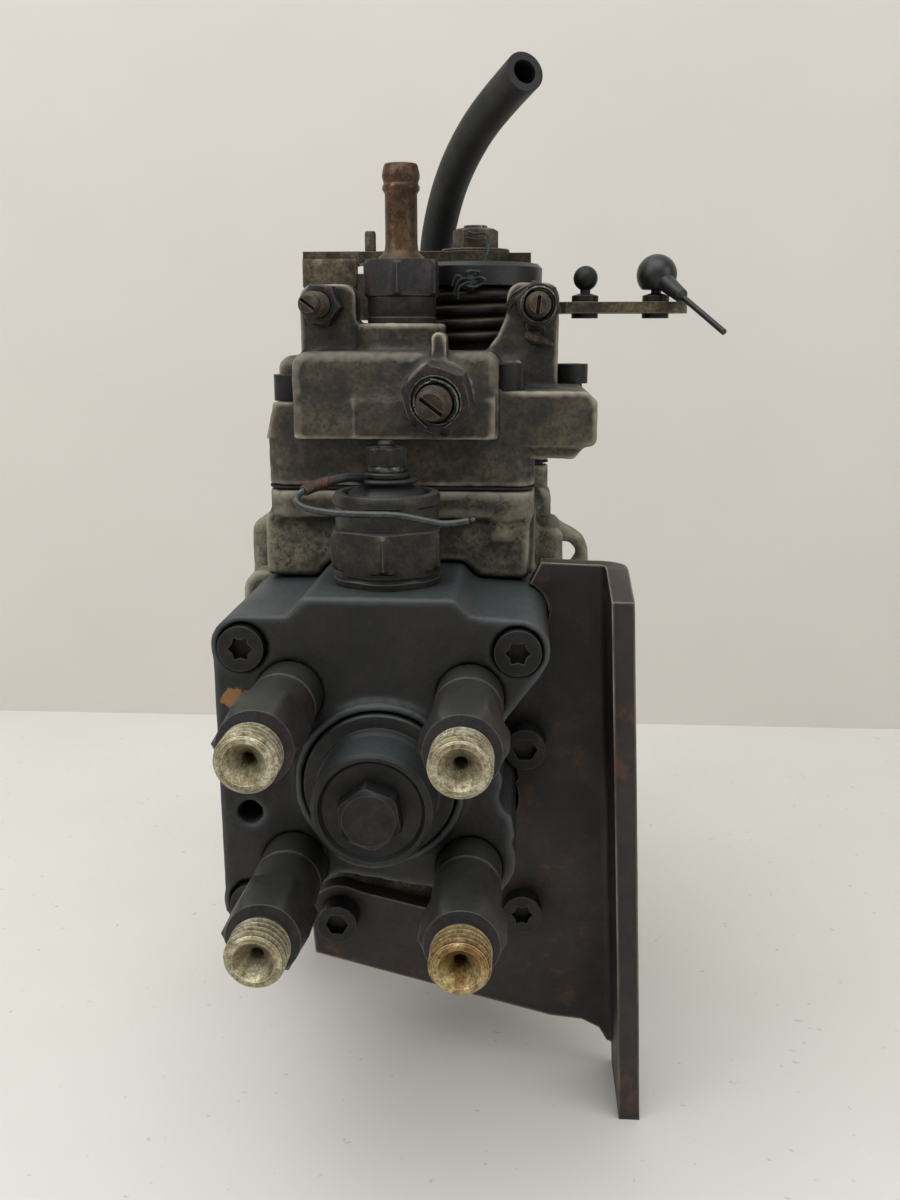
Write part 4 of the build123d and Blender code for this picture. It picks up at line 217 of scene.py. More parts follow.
# ======== materials
FINISHES = {
    # sand-cast aluminium, bare and stained by fuel: matt beige-grey with black pits
    "cast_aluminium": dict(
        base="736c57", patch="3a362b", edge="b5ae99", edge_share=0.65, dust_and_top_light="8b8873", dust_and_top_light_share=0.35,
        speck="0d0c0a", speck_share=0.8, patch_size=16, grain=1.0, grain_height=0.16, rough=(0.6, 0.85),
        cast=True,
    ),
    # the same casting under a film of old grease: browner and darker
    "greasy_cast_aluminium": dict(
        base="4c4230", patch="231e16", edge="aaa18d", edge_share=0.85, dust_and_top_light="5d6059", dust_and_top_light_share=0.4,
        speck="0b0a09", speck_share=0.6, patch_size=13, grain=0.9, grain_height=0.14, rough=(0.42, 0.72),
        cast=True,
    ),
    # blackened cast steel: near black with blue-grey dust and painted top light on its ledges
    "blackened_cast_steel": dict(
        base="1b1a19", patch="100f0f", edge="4c5254", edge_share=0.8, edge_width=0.9, dust_and_top_light="3f4648",
        dust_and_top_light_share=0.8, speck="0b0b0b", spot="2f2722", patch_size=20, grain=0.8, grain_height=0.12,
        rough=(0.5, 0.75), cast=True, stain=((-31.6, -138.0, 17.8), 5.6, "8a6238"),
    ),
    # the plug's turned face: black, with dust and painted top light on its upper edges
    "blackened_turned_steel": dict(
        base="2a2a27", patch="191918", edge="63625c", edge_width=0.5, dust_and_top_light="484f52", dust_and_top_light_share=0.7,
        spot="3a352c", spot_share=0.4, patch_size=9, grain=0.7, grain_height=0.05, metal=0.2,
        rough=(0.45, 0.65), round_edge=0.3,
    ),
    # sheet steel in thin black paint: brown-black, scratched bright along its edges
    "worn_black_paint": dict(
        base="261d19", patch="17110e", edge="a09587", edge_share=1.0, edge_width=1.0, dust_and_top_light="453f39",
        spot="4a2a1b", spot_share=0.75, patch_size=26, grain=1.6, grain_height=0.05, rough=(0.42, 0.66),
        round_edge=0.3,
    ),
    # phosphated steel browned by fuel: violet-brown, soft sheen
    "phosphated_steel": dict(
        base="33292a", patch="26272a", edge="857b70", edge_share=0.65, edge_width=0.5, dust_and_top_light="41453f",
        dust_and_top_light_share=0.6, spot="3f2c22", patch_size=8, grain=0.7, grain_height=0.05, metal=0.35,
        rough=(0.4, 0.62), round_edge=0.25,
    ),
    # bare thread, zinc plated and yellowed: pale brass with dirt and painted shade in its grooves
    "yellowed_zinc": dict(
        base="c9c2a6", patch="9c9170", edge="f2eedd", edge_share=0.8, edge_width=0.2, corner_reach=1.6,
        dirt_and_shade="1d160d", dirt_and_shade_share=0.9, spot="7a5727", spot_share=0.6, patch_size=5, grain=0.4,
        grain_height=0.04, metal=0.6, rough=(0.26, 0.48), round_edge=0.1,
    ),
    # the same plating where old fuel has baked on: ochre brown
    "fuel_stained_zinc": dict(
        base="bda873", patch="86632f", edge="eddfb8", edge_share=0.75, edge_width=0.2, corner_reach=1.6,
        dirt_and_shade="1d130a", dirt_and_shade_share=0.9, spot="5b3512", spot_share=0.7, patch_size=5, grain=0.4,
        grain_height=0.04, metal=0.55, rough=(0.28, 0.5), round_edge=0.1,
    ),
    # black screws, oily: hardened steel with a thin dull film
    "oiled_black_screw": dict(
        base="262524", patch="171717", edge="6b6862", edge_width=0.4, dust_and_top_light="3e4241", dust_and_top_light_share=0.45,
        patch_size=6, grain=0.6, grain_height=0.04, metal=0.4, rough=(0.32, 0.58), round_edge=0.3,
    ),
    # olive zinc of the solenoid, varnished by fuel: brown-green, slightly glossy
    "varnished_zinc": dict(
        base="36322a", patch="232320", edge="8d8674", edge_width=0.4, dust_and_top_light="5a6060", dust_and_top_light_share=0.7,
        spot="4a3423", spot_share=0.6, patch_size=8, grain=0.6, grain_height=0.04, metal=0.4,
        rough=(0.34, 0.56), round_edge=0.25,
    ),
    # zinc screws gone to rust: dark brown with orange bloom
    "rusted_zinc": dict(
        base="4d4030", patch="2f261c", edge="b0a48c", edge_share=0.55, edge_width=0.3, dust_and_top_light="5b4c3c",
        dust_and_top_light_share=0.4, spot="6a4123", spot_share=0.45, patch_size=4, grain=0.5, grain_height=0.06,
        metal=0.3, rough=(0.5, 0.75), round_edge=0.15,
    ),
    # yellow passivated sheet: dull brass tint with dark stains
    "yellow_passivated": dict(
        base="6a5f49", patch="3e362a", edge="b3a78a", edge_width=0.4, dust_and_top_light="716d5c", dust_and_top_light_share=0.35,
        patch_size=7, grain=0.8, grain_height=0.05, metal=0.45, rough=(0.36, 0.62), round_edge=0.3,
        spot="5a4526",
    ),
    # brass tube: brown with age, yellow at its rubbed edges
    "aged_brass": dict(
        base="644a30", patch="3f2e1e", edge="b2935c", edge_share=0.55, edge_width=0.4, dust_and_top_light="8a6f46",
        dust_and_top_light_share=0.4, spot="382819", patch_size=7, grain=0.6, grain_height=0.03, metal=0.5,
        rough=(0.3, 0.52), round_edge=0.25,
    ),
    # ground or turned steel, lightly oiled: bright grey
    "machined_steel": dict(
        base="8d8b88", patch="6e6c69", edge="bdbbb7", edge_share=0.4, edge_width=0.3, patch_size=8,
        grain=0.4, grain_height=0.02, metal=1.0, rough=(0.22, 0.38), round_edge=0.2,
    ),
    # plain steel of washers and thin wire: bright under its dirt
    "bright_steel": dict(
        base="85867f", patch="53544f", edge="c5c5bd", edge_share=0.5, edge_width=0.2, spot="3a3835",
        spot_share=0.6, patch_size=4, grain=0.4, grain_height=0.02, metal=0.9, rough=(0.24, 0.42),
        round_edge=0.1,
    ),
    # spring wire: dark with dry oil, with dust and painted top light on its upper side
    "spring_steel": dict(
        base="352e27", patch="231e1a", edge="9a8a74", edge_share=0.5, edge_width=0.3, dust_and_top_light="7d6e58",
        dust_and_top_light_share=0.65, patch_size=8, grain=0.5, grain_height=0.03, metal=0.4, rough=(0.35, 0.55),
        round_edge=0.2,
    ),
    # bearing bronze: warm brown-yellow, smoothly worn
    "bearing_bronze": dict(
        base="8a6a3c", patch="6d5230", patch_size=8, grain=0.5, grain_height=0.02, metal=1.0,
        rough=(0.3, 0.45), round_edge=0.2,
    ),
    # copper sleeve crimped on the wire, dulled to brown
    "copper": dict(
        base="5b4034", patch="3f2c25", edge="987462", edge_width=0.2, patch_size=3, grain=0.4,
        grain_height=0.03, metal=0.5, rough=(0.34, 0.55), round_edge=0.15,
    ),
    # hose of black rubber: matt, with a little dust and painted top light on its upper side
    "black_rubber": dict(
        base="191a1b", patch="121314", dust_and_top_light="2c2e2f", dust_and_top_light_share=0.4, patch_size=10, grain=0.9,
        grain_height=0.05, rough=(0.5, 0.68), round_edge=0.3, dirt_and_shade="050505",
    ),
    # moulded black nylon: soft shine, with grey dust and painted top light on its upper faces
    "black_nylon": dict(
        base="1b1b1c", patch="131314", edge="4a4a49", edge_share=0.5, edge_width=0.4, dust_and_top_light="41464a",
        patch_size=7, grain=0.8, grain_height=0.03, rough=(0.3, 0.5), round_edge=0.3, dirt_and_shade="060606",
    ),
    # wire insulation of grey-green vinyl: glossy, with dust and painted top light on its upper side
    "grey_vinyl": dict(
        base="3c423f", patch="2a2f2e", dust_and_top_light="5f6664", patch_size=4, grain=0.5, grain_height=0.02,
        rough=(0.25, 0.4), round_edge=0.2,
    ),
    # soft lead of a wire seal: blue-grey, crushed
    "crushed_lead": dict(
        base="3a4046", patch="23272b", edge="7d858a", edge_width=0.3, patch_size=2.5, grain=0.4,
        grain_height=0.08, metal=0.2, rough=(0.5, 0.7), round_edge=0.1,
    ),
    # sealing sheet between the castings: dull black
    "sealing_sheet": dict(
        base="1c1a17", patch="12110f", patch_size=5, grain=0.8, grain_height=0.05, rough=(0.7, 0.85),
        round_edge=0.1,
    ),
}
MATERIALS = {name: worn(name, **look) for name, look in FINISHES.items()}

# the CAD nodes that each finish is on
NODE_FINISH = {
    "cast_aluminium": ["pump_housing", "advance_covers"],
    "greasy_cast_aluminium": ["governor_cover"],
    "blackened_cast_steel": ["distributor_head"],
    "blackened_turned_steel": ["head_plug"],
    "worn_black_paint": ["support_bracket"],
    "phosphated_steel": ["delivery_valve_holders", "lock_nuts", "inlet_fitting"],
    "rusted_zinc": ["adjusting_screws"],
    "oiled_black_screw": ["torx_screws", "socket_screws", "head_plug_bolt", "ball_studs", "terminal_nut"],
    "varnished_zinc": ["solenoid_body"],
    "yellow_passivated": ["control_lever", "lever_nut", "return_fitting"],
    "machined_steel": [
        "drive_shaft", "shaft_key", "drive_gear", "feed_pump_ring", "feed_pump_rotor", "feed_pump_vanes",
        "feed_pump_plate", "cross_coupling", "roller_ring", "cam_rollers", "cam_disc", "pump_plunger",
        "spring_bridge", "control_spool", "governor_cage", "governor_shaft", "governor_sleeve",
        "governor_levers", "advance_piston", "distributor_barrel", "delivery_valves", "flyweight_1",
        "flyweight_2", "flyweight_3", "flyweight_4", "lever_shaft", "solenoid_armature",
    ],
    "spring_steel": [
        "governor_spring", "plunger_springs", "advance_spring", "delivery_valve_springs", "lever_spring",
    ],
    "bearing_bronze": ["shaft_bush"],
    "copper": ["wire_eyelet"],
    "black_rubber": ["shaft_seal", "fuel_hose"],
    "black_nylon": ["spring_cap", "solenoid_insulator", "link_socket"],
    "grey_vinyl": ["solenoid_wire"],
    "sealing_sheet": ["cover_gasket"],
}
for finish, names in NODE_FINISH.items():
    for name in names:
        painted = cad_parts[name].data.materials
        painted.clear()
        painted.append(MATERIALS[finish])


# ======== piece helpers
def show(name, mesh, finish, body="pump", smooth=35.0):
    """A piece from a mesh in metres: its material, its smooth faces and the body it rides on."""
    if finish:
        mesh.materials.clear()
        mesh.materials.append(MATERIALS[finish])
    mesh.shade_smooth()
    mesh.set_sharp_from_angle(angle=math.radians(smooth))
    piece = bpy.data.objects.new(name, mesh)
    bpy.context.collection.objects.link(piece)
    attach(piece, body)
    return piece


def finish_mesh(name, made):
    """The bmesh as a mesh, with doubles merged and faces turned outwards."""
    bmesh.ops.remove_doubles(made, verts=made.verts, dist=1e-7)
    bmesh.ops.recalc_face_normals(made, faces=made.faces)
    mesh = bpy.data.meshes.new(name)
    made.to_mesh(mesh)
    made.free()
    return mesh


def fit(name, made, finish, node=None, body="pump", smooth=35.0):
    """A bmesh as a finished piece and the CAD node that it replaces, if any."""
    piece = show(name, finish_mesh(name, made), finish, body, smooth)
    if node:
        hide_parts(node)
    return piece


def frame_along(axis, across=None):
    """Two unit vectors square to an axis."""
    axis = axis.normalized()
    if across is None:
        across = UP if abs(axis.z) < 0.9 else RIGHT
    side = (across - axis * across.dot(axis)).normalized()
    return side, axis.cross(side)


def round_ring(made, centre, side, third, radius, steps):
    """Adds a ring of points. The centre and the radius are in metres."""
    ring = []
    for step in range(steps):
        angle = 2 * math.pi * step / steps
        ring.append(made.verts.new(centre + (side * math.cos(angle) + third * math.sin(angle)) * radius))
    return ring


def skin(made, ring, following):
    """Adds the faces between two rings of points."""
    for step in range(len(ring)):
        nxt = (step + 1) % len(ring)
        made.faces.new([ring[step], ring[nxt], following[nxt], following[step]])


def turn(made, profile, at, axis, flats=None, across=None, segments=72):
    """Adds a closed turned shape. Each profile point is (radius, distance along the axis).

    Where flats is given, no point lies further out than the sides of a hexagon that wide.
    """
    axis = Vector(axis).normalized()
    side, third = frame_along(axis, across)
    rings = []
    for radius, along in profile:
        ring = []
        for step in range(segments):
            angle = 2 * math.pi * step / segments
            reach = radius
            if flats:
                off = (angle + math.pi / 6) % (math.pi / 3) - math.pi / 6
                reach = min(radius, flats / 2 / math.cos(off))
            point = Vector(at) + axis * along + (side * math.cos(angle) + third * math.sin(angle)) * reach
            ring.append(made.verts.new(point * MM))
        rings.append(ring)
    for ring, following in zip(rings, rings[1:] + rings[:1]):
        skin(made, ring, following)


def turned_piece(name, profile, at, axis, finish, slot, node=None, **form):
    """One turned shape as a finished piece."""
    made = bmesh.new()
    turn(made, profile, at, axis, **form)
    fit(name, made, finish, node)


def thread(start, end, crest, depth, pitch):
    """Profile points of a thread's ridges from one distance to another."""
    points = []
    for ridge in range(max(1, int((end - start) / pitch))):
        foot = start + ridge * pitch
        points += [
            (crest - depth, foot),
            (crest - 0.1 * depth, foot + 0.40 * pitch),
            (crest - 0.1 * depth, foot + 0.58 * pitch),
            (crest - depth, foot + 0.97 * pitch),
        ]
    return points


BORE_CHAMFER = 0.35


def hexagon_nut(made, at, axis, flats, height, bore, across, chamfer=0.9):
    """Adds a nut with both ends chamfered. It stands on its place and rises along its axis."""
    corner = flats / math.sqrt(3)
    profile = [
        (bore, 0.0),
        (corner - chamfer, 0.0),
        (corner, 0.45 * chamfer),
        (corner, height - 0.45 * chamfer),
        (corner - chamfer, height),
        (bore + BORE_CHAMFER, height),
        (bore, height - BORE_CHAMFER),
    ]
    turn(made, profile, at, axis, flats=flats, across=across)


SCREW_PITCH, SCREW_LEAD = 0.9, 1.1  # the lead is the plain end in front of the first ridge
SLOT_DEPTH = 1.3


def slotted_screw(made, at, axis, radius, length, slot_width, across):
    """Adds a threaded screw end whose tip, with a slot across it, is at its place.

    The axis points out of the tip.
    """
    axis = Vector(axis).normalized()
    side, third = frame_along(axis, across)
    rows = [(length, radius - 0.35)]
    along = length
    while along - SCREW_PITCH > SCREW_LEAD:
        crest, foot = along - 0.45 * SCREW_PITCH, along - SCREW_PITCH
        rows += [(crest, radius), (along - 0.6 * SCREW_PITCH, radius), (foot, radius - 0.4)]
        along = foot
    rows += [(0.55, radius - 0.45), (0.0, radius - 0.95)]
    place = Vector(at)
    rings = [
        round_ring(made, (place - axis * back) * MM, side, third, reach * MM, 40) for back, reach in rows
    ]
    for ring, following in zip(rings, rings[1:]):
        skin(made, ring, following)
    made.faces.new(rings[0])
    # the tip: two lands with the slot's floor and walls between them
    tip, reach = rings[-1], rows[-1][1]
    half = slot_width / 2
    edge = math.sqrt(reach * reach - half * half)
    floors = []
    for sign in (1, -1):
        land = [v for v in tip if sign * (v.co / MM - place).dot(third) > half]
        land.sort(key=lambda v: (v.co / MM - place).dot(side))
        ends = [
            made.verts.new((place + side * edge * direction + third * half * sign) * MM)
            for direction in (-1, 1)
        ]
        made.faces.new([ends[0], *land, ends[1]])
        floor = [made.verts.new(v.co - axis * SLOT_DEPTH * MM) for v in ends]
        made.faces.new([ends[0], ends[1], floor[1], floor[0]])
        floors.append(floor)
    made.faces.new([floors[0][0], floors[0][1], floors[1][1], floors[1][0]])


def sweep(made, line, radius, segments, bore=0.0):
    """Adds a round bar, or a tube with a bore, along points in metres."""
    side = None
    rings, inner = [], []
    for index, point in enumerate(line):
        before = line[max(index - 1, 0)]
        after = line[min(index + 1, len(line) - 1)]
        axis = (after - before).normalized()
        if side is None:
            side, third = frame_along(axis)
        else:
            side = (side - axis * side.dot(axis)).normalized()
            third = axis.cross(side)
        rings.append(round_ring(made, point, side, third, radius, segments))
        if bore:
            inner.append(round_ring(made, point, side, third, bore, segments))
    for store in (rings, inner):
        for ring, following in zip(store, store[1:]):
            skin(made, ring, following)
    for end in (0, -1):
        if bore:
            skin(made, rings[end], inner[end])
        else:
            made.faces.new(rings[end])


def plain_copy(node_name):
    """A copy of a CAD node's mesh with its loose triangles joined."""
    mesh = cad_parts[node_name].data.copy()
    made = bmesh.new()
    made.from_mesh(mesh)
    bmesh.ops.remove_doubles(made, verts=made.verts, dist=1e-6)
    made.to_mesh(mesh)
    made.free()
    return mesh


def made_plain(holder):
    """The plain mesh that an object's modifiers or its curve give. The object goes."""
    bpy.context.collection.objects.link(holder)
    bpy.context.view_layer.update()
    graph = bpy.context.evaluated_depsgraph_get()
    mesh = bpy.data.meshes.new_from_object(holder.evaluated_get(graph))
    bpy.data.objects.remove(holder)
    return mesh


def with_modifiers(name, mesh, settings):
    """The mesh that a stack of modifiers gives. Each is (kind, its settings)."""
    holder = bpy.data.objects.new(name, mesh)
    for kind, values in settings:
        modifier = holder.modifiers.new(kind.lower(), kind)
        for key, value in values.items():
            setattr(modifier, key, value)
    made = made_plain(holder)
    made.name = name
    return made


def route_curve(name, points):
    """An open smooth curve through a route's control points, which are in metres."""
    curve = bpy.data.curves.new(name, "CURVE")
    curve.dimensions = "3D"
    spline = curve.splines.new("NURBS")
    spline.points.add(len(points) - 1)
    for point, place in zip(spline.points, points):
        point.co = (*place, 1)
    spline.order_u = 3
    spline.use_endpoint_u = True
    curve.resolution_u = spline.resolution_u = 10
    return curve


def smooth_line(points):
    """The points of the smooth curve that a route's control points give, in metres."""
    curve = route_curve("line", points)
    mesh = made_plain(bpy.data.objects.new("line", curve))
    line = [v.co.copy() for v in mesh.vertices]
    bpy.data.meshes.remove(mesh)
    bpy.data.curves.remove(curve)
    return line


def bent_wire(made, points, radius, segments=8):
    """Adds a wire along a smooth line through control points in millimetres."""
    sweep(made, smooth_line([Vector(point) * MM for point in points]), radius * MM, segments)


# ======== cords
# the wire from the crimped sleeve to its bare tip, in metres
WIRE_POINTS = [
    (-0.0152, -0.1348, 0.0623),
    (-0.0172, -0.1356, 0.0612),
    (-0.0162, -0.1366, 0.0594),
    (-0.0126, -0.1374, 0.0585),
    (-0.0075, -0.1376, 0.0580),
    (-0.0020, -0.1379, 0.0579),
    (0.0042, -0.1378, 0.0579),
    (0.0102, -0.1377, 0.0567),
    (0.0144, -0.1372, 0.0558),
    (0.0186, -0.1364, 0.0566),
]
WIRE_DIAMETER, WIRE_LENGTH = 0.0014, 0.0395
# the hose stub from the return fitting to its cut end, in metres
HOSE_POINTS = [
    (0.0046, -0.0415, 0.1000),
    (0.0046, -0.0415, 0.1130),
    (0.0070, -0.0470, 0.1248),
    (0.0112, -0.0570, 0.1346),
    (0.0172, -0.0690, 0.1424),
    (0.0233, -0.0795, 0.1474),
    (0.0287, -0.0900, 0.1506),
]
HOSE_DIAMETER, HOSE_BORE, HOSE_LENGTH = 0.009, 0.0054, 0.081
SOLENOID = (0.0, -120.0, 0.0)


def ring_terminal():
    """The dark ring under the terminal's nut, its black sleeve and the copper crimp that holds the wire."""
    made = bmesh.new()
    ring = [(2.1, 62.25), (6.5, 62.25), (6.75, 62.5), (6.75, 62.95), (6.4, 63.2), (2.1, 63.2)]
    turn(made, ring, SOLENOID, UP)
    sleeve = [(-4.4, -124.0, 63.4), (-6.4, -127.0, 64.2), (-8.8, -129.6, 64.2), (-11.4, -131.6, 63.6)]
    bent_wire(made, sleeve, 0.95, segments=20)
    dark = len(made.faces)
    crimp = [(-10.9, -131.2, 63.75), (-13.2, -133.0, 63.1), (-15.4, -134.9, 62.25)]
    bent_wire(made, crimp, 1.2, segments=20)
    made.faces.ensure_lookup_table()
    for face in made.faces[dark:]:
        face.material_index = 1
    mesh = finish_mesh("ring_terminal", made)
    for finish in ("black_nylon", "copper"):
        mesh.materials.append(MATERIALS[finish])
    terminal = show("ring_terminal", mesh, None, smooth=50)
    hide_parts("wire_eyelet")
    return terminal


def solenoid_wire():
    """The cut wire that leaves the crimp."""
    curve = route_curve("insulated_wire", WIRE_POINTS)
    curve.bevel_depth = WIRE_DIAMETER / 2
    curve.bevel_resolution = 4
    curve.use_fill_caps = True
    curve.materials.append(MATERIALS["grey_vinyl"])
    wire = bpy.data.objects.new("insulated_wire", curve)
    bpy.context.collection.objects.link(wire)
    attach(wire, "pump")
    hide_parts("solenoid_wire")
    ring_terminal()


def fuel_hose():
    """The cut stub of hose on the return fitting."""
    line = smooth_line(HOSE_POINTS)
    made = bmesh.new()
    sweep(made, line, HOSE_DIAMETER / 2, 40, bore=HOSE_BORE / 2)
    hose = fit("rubber_hose", made, "black_rubber", "fuel_hose", smooth=50)


solenoid_wire()
fuel_hose()


# ======== castings
# each is (piece, node, finish, slot, voxel, rounding passes, depth of the cast skin)
CASTINGS = [
    ("cast_cover", "governor_cover", "greasy_cast_aluminium", "cover", 0.62, 3, 0.16),
    ("cast_head", "distributor_head", "blackened_cast_steel", "head", 0.8, 3, 0.07),
    ("cast_housing", "pump_housing", "cast_aluminium", "housing", 1.15, 2, 0.22),
]
LUMP_SIZE, LUMP_SHARE = 7.0, 0.6
PIT_SIZE, PIT_SHARE = 1.9, 0.7
PANEL_LEFT, PANEL_TOP, PANEL_RISE, PANEL_STEP = -9.4, 80.4, 0.45, 1.0
COVER_FACE, FACE_REACH = -111.0, 0.8
BRACKET_EDGE = 0.7


def cast_skin(mesh, depth):
    """Moves each point a little in or out along its normal, in soft lumps and fine pits."""
    normals = [vertex.normal.copy() for vertex in mesh.vertices]
    for vertex, normal in zip(mesh.vertices, normals):
        place = vertex.co / MM
        lump = mathutils.noise.noise(place / LUMP_SIZE) * LUMP_SHARE
        pit = mathutils.noise.noise(place / PIT_SIZE) * PIT_SHARE
        vertex.co = vertex.co + normal * (lump + pit) * depth * MM


def raised_panel(mesh):
    """The cover's face stands a little prouder right of a cast step and below its top band."""
    facing = [vertex for vertex in mesh.vertices if vertex.co.y < (COVER_FACE + FACE_REACH) * MM]
    facing = [vertex for vertex in facing if vertex.normal.y < -0.7]
    for vertex in facing:
        x, _, z = vertex.co / MM
        inside = min(x - PANEL_LEFT, PANEL_TOP - z, PANEL_STEP)
        vertex.co.y -= max(inside, 0.0) * PANEL_RISE * MM


def castings():
    """The cover, the head and the housing, each with rounded edges and a cast skin."""
    for piece_name, node_name, finish, slot, voxel, passes, depth in CASTINGS:
        rounding = [
            ("REMESH", {"mode": "VOXEL", "voxel_size": voxel * MM}),
            ("SMOOTH", {"factor": 0.5, "iterations": passes}),
        ]
        mesh = with_modifiers(piece_name, plain_copy(node_name), rounding)
        if node_name == "governor_cover":
            raised_panel(mesh)
        cast_skin(mesh, depth)
        casting = show(piece_name, mesh, finish, smooth=180)
        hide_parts(node_name)


def pressed_bracket():
    """The sheet steel bracket with its edges rounded by the press."""
    flat, edge = math.radians(1.0), math.radians(40)
    bevel = {"width": BRACKET_EDGE * MM, "segments": 3, "limit_method": "ANGLE", "angle_limit": edge}
    pressing = [("DECIMATE", {"decimate_type": "DISSOLVE", "angle_limit": flat}), ("BEVEL", bevel)]
    mesh = with_modifiers("pressed_bracket", plain_copy("support_bracket"), pressing)
    bracket = show("pressed_bracket", mesh, "worn_black_paint", smooth=40)
    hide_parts("support_bracket")


castings()
pressed_bracket()


# ======== delivery valve holders
OUTLET_X, OUTLET_Z = 19.1, 19.5
HOLDER_BASE = -137.9
HOLDER_BODY = [
    (5.4, 0.0), (7.15, 0.0), (7.15, 8.6), (6.85, 8.85), (6.85, 9.45), (7.15, 9.7), (7.15, 17.6), (7.35, 18.8),
    (8.7, 20.8), (8.7, 30.2), (7.4, 31.9), (5.6, 32.5), (5.2, 32.7), (5.2, 33.5), (5.0, 33.6), (5.0, 32.0),
]
HOLDER_FLATS = 15.0
THREAD_START, THREAD_END = 33.5, 39.6
THREAD_CREST, THREAD_DEPTH, THREAD_PITCH = 6.02, 1.05, 1.5
HOLDER_TIP = [
    (5.35, 39.7), (4.95, 40.1), (4.05, 40.1), (3.8, 39.8), (1.4, 37.0), (1.25, 36.4), (1.25, 26.0),
    (4.7, 26.0),
]


def four_outlets():
    """The tree that sets one made end on each of the head's four outlets and gives it its material."""
    tree = bpy.data.node_groups.new("four_outlets", "GeometryNodeTree")
    face = tree.interface
    face.new_socket("Geometry", in_out="INPUT", socket_type="NodeSocketGeometry")
    for label in ("Apart Across", "Apart Up"):
        face.new_socket(label, in_out="INPUT", socket_type="NodeSocketFloat")
    face.new_socket("Finish", in_out="INPUT", socket_type="NodeSocketMaterial")
    face.new_socket("Geometry", in_out="OUTPUT", socket_type="NodeSocketGeometry")
    given = add(tree, "NodeGroupInput").outputs
    sizes = {"Size X": given["Apart Across"], "Size Y": given["Apart Up"], "Vertices X": 2, "Vertices Y": 2}
    grid = add(tree, "GeometryNodeMeshGrid", sizes).outputs["Mesh"]
    upright = {"Geometry": grid, "Rotation": (math.pi / 2, 0, 0)}
    places = add(tree, "GeometryNodeTransform", upright).outputs[0]
    set_on = {"Points": places, "Instance": given["Geometry"]}
    copies = add(tree, "GeometryNodeInstanceOnPoints", set_on).outputs[0]
    real = add(tree, "GeometryNodeRealizeInstances", {"Geometry": copies}).outputs[0]
    painted = add(tree, "GeometryNodeSetMaterial", {"Geometry": real, "Material": given["Finish"]}).outputs[0]
    add(tree, "NodeGroupOutput", {"Geometry": painted})
    return tree


def set_on_outlets(name, tree, profile, finish, flats=None):
    """A turned shape on each of the four outlets, as one plain mesh."""
    made = bmesh.new()
    turn(made, profile, (0, HOLDER_BASE, 0), FRONT, flats=flats)
    holder = bpy.data.objects.new(name, finish_mesh(name, made))
    modifier = holder.modifiers.new(name, "NODES")
    modifier.node_group = tree
    values = {
        "Apart Across": 2 * OUTLET_X * MM,
        "Apart Up": 2 * OUTLET_Z * MM,
        "Finish": MATERIALS[finish],
    }
    for socket in tree.interface.items_tree:
        if socket.in_out == "INPUT" and socket.name in values:
            modifier[socket.identifier] = values[socket.name]
    return made_plain(holder)


def delivery_ends():
    """The four hexagon bodies and their bare threaded ends."""
    tree = four_outlets()
    four = set_on_outlets("holder_bodies", tree, HOLDER_BODY, "phosphated_steel", HOLDER_FLATS)
    bodies = show("holder_bodies", four, None)
    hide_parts("delivery_valve_holders")
    ridges = thread(THREAD_START, THREAD_END, THREAD_CREST, THREAD_DEPTH, THREAD_PITCH)
    four = set_on_outlets("outlet_threads", tree, ridges + HOLDER_TIP, "yellowed_zinc")
    # old fuel has baked on the lower right end
    four.materials.clear()
    for finish in ("yellowed_zinc", "fuel_stained_zinc"):
        four.materials.append(MATERIALS[finish])
    for face in four.polygons:
        face.material_index = 1 if face.center.z < 0 and face.center.x > 0 else 0
    ends = show("outlet_threads", four, None)


delivery_ends()


# ======== plug in the middle of the head
PLUG = [
    (4.3, 134.3), (16.2, 134.3), (16.2, 137.6), (15.7, 137.9), (15.7, 139.0), (16.2, 139.3), (16.2, 140.8),
    (15.9, 141.2), (13.4, 141.4), (13.2, 142.2), (13.2, 143.4), (12.7, 143.7), (12.7, 152.0), (12.4, 153.3),
    (11.7, 153.8), (11.0, 153.8), (10.5, 153.2), (10.1, 152.75), (4.3, 152.6),
]
PLUG_BOLT = [
    (0.02, 138.2), (4.0, 138.2), (4.0, 152.4), (6.95, 152.4), (6.95, 156.6), (6.45, 157.35), (5.35, 157.95),
    (4.9, 157.8), (0.02, 157.75),
]
PLUG_BOLT_FLATS = 12.0

turned_piece(
    "turned_plug", PLUG, (0, 0, 0), FRONT, "blackened_turned_steel", "head", "head_plug", segments=128
)
turned_piece(
    "plug_bolt", PLUG_BOLT, (0, 0, 0), FRONT, "oiled_black_screw", "dark_steel", "head_plug_bolt",
    flats=PLUG_BOLT_FLATS, across=Vector((1, 0, 0.15)), segments=96,
)


# ======== shut-off solenoid
SOLENOID_CASE = [
    (4.3, 26.2), (9.0, 26.2), (9.0, 40.6), (12.0, 40.6), (12.0, 41.9), (11.3, 42.2), (11.3, 42.7),
    (12.0, 43.0), (12.0, 43.9), (12.6, 44.3), (13.6, 45.0), (13.6, 51.6), (12.3, 52.5), (11.3, 52.6),
    (11.3, 57.4), (11.75, 58.0), (11.75, 59.3), (11.2, 60.2), (9.9, 60.35), (9.3, 60.0), (9.0, 59.4),
    (8.6, 59.2), (4.3, 59.2),
]
SOLENOID_FLATS = 23.2
CONE = [
    (2.2, 59.2), (8.5, 59.2), (8.4, 60.1), (7.7, 60.6), (6.6, 61.0), (5.7, 61.7), (5.5, 62.2), (2.2, 62.2),
]
STUD = [
    (0.02, 59.2), (2.0, 59.2), (2.0, 69.9), (1.95, 70.0), (1.75, 70.3), (1.95, 70.6), (1.75, 70.9),
    (1.5, 71.2), (0.02, 71.2),
]
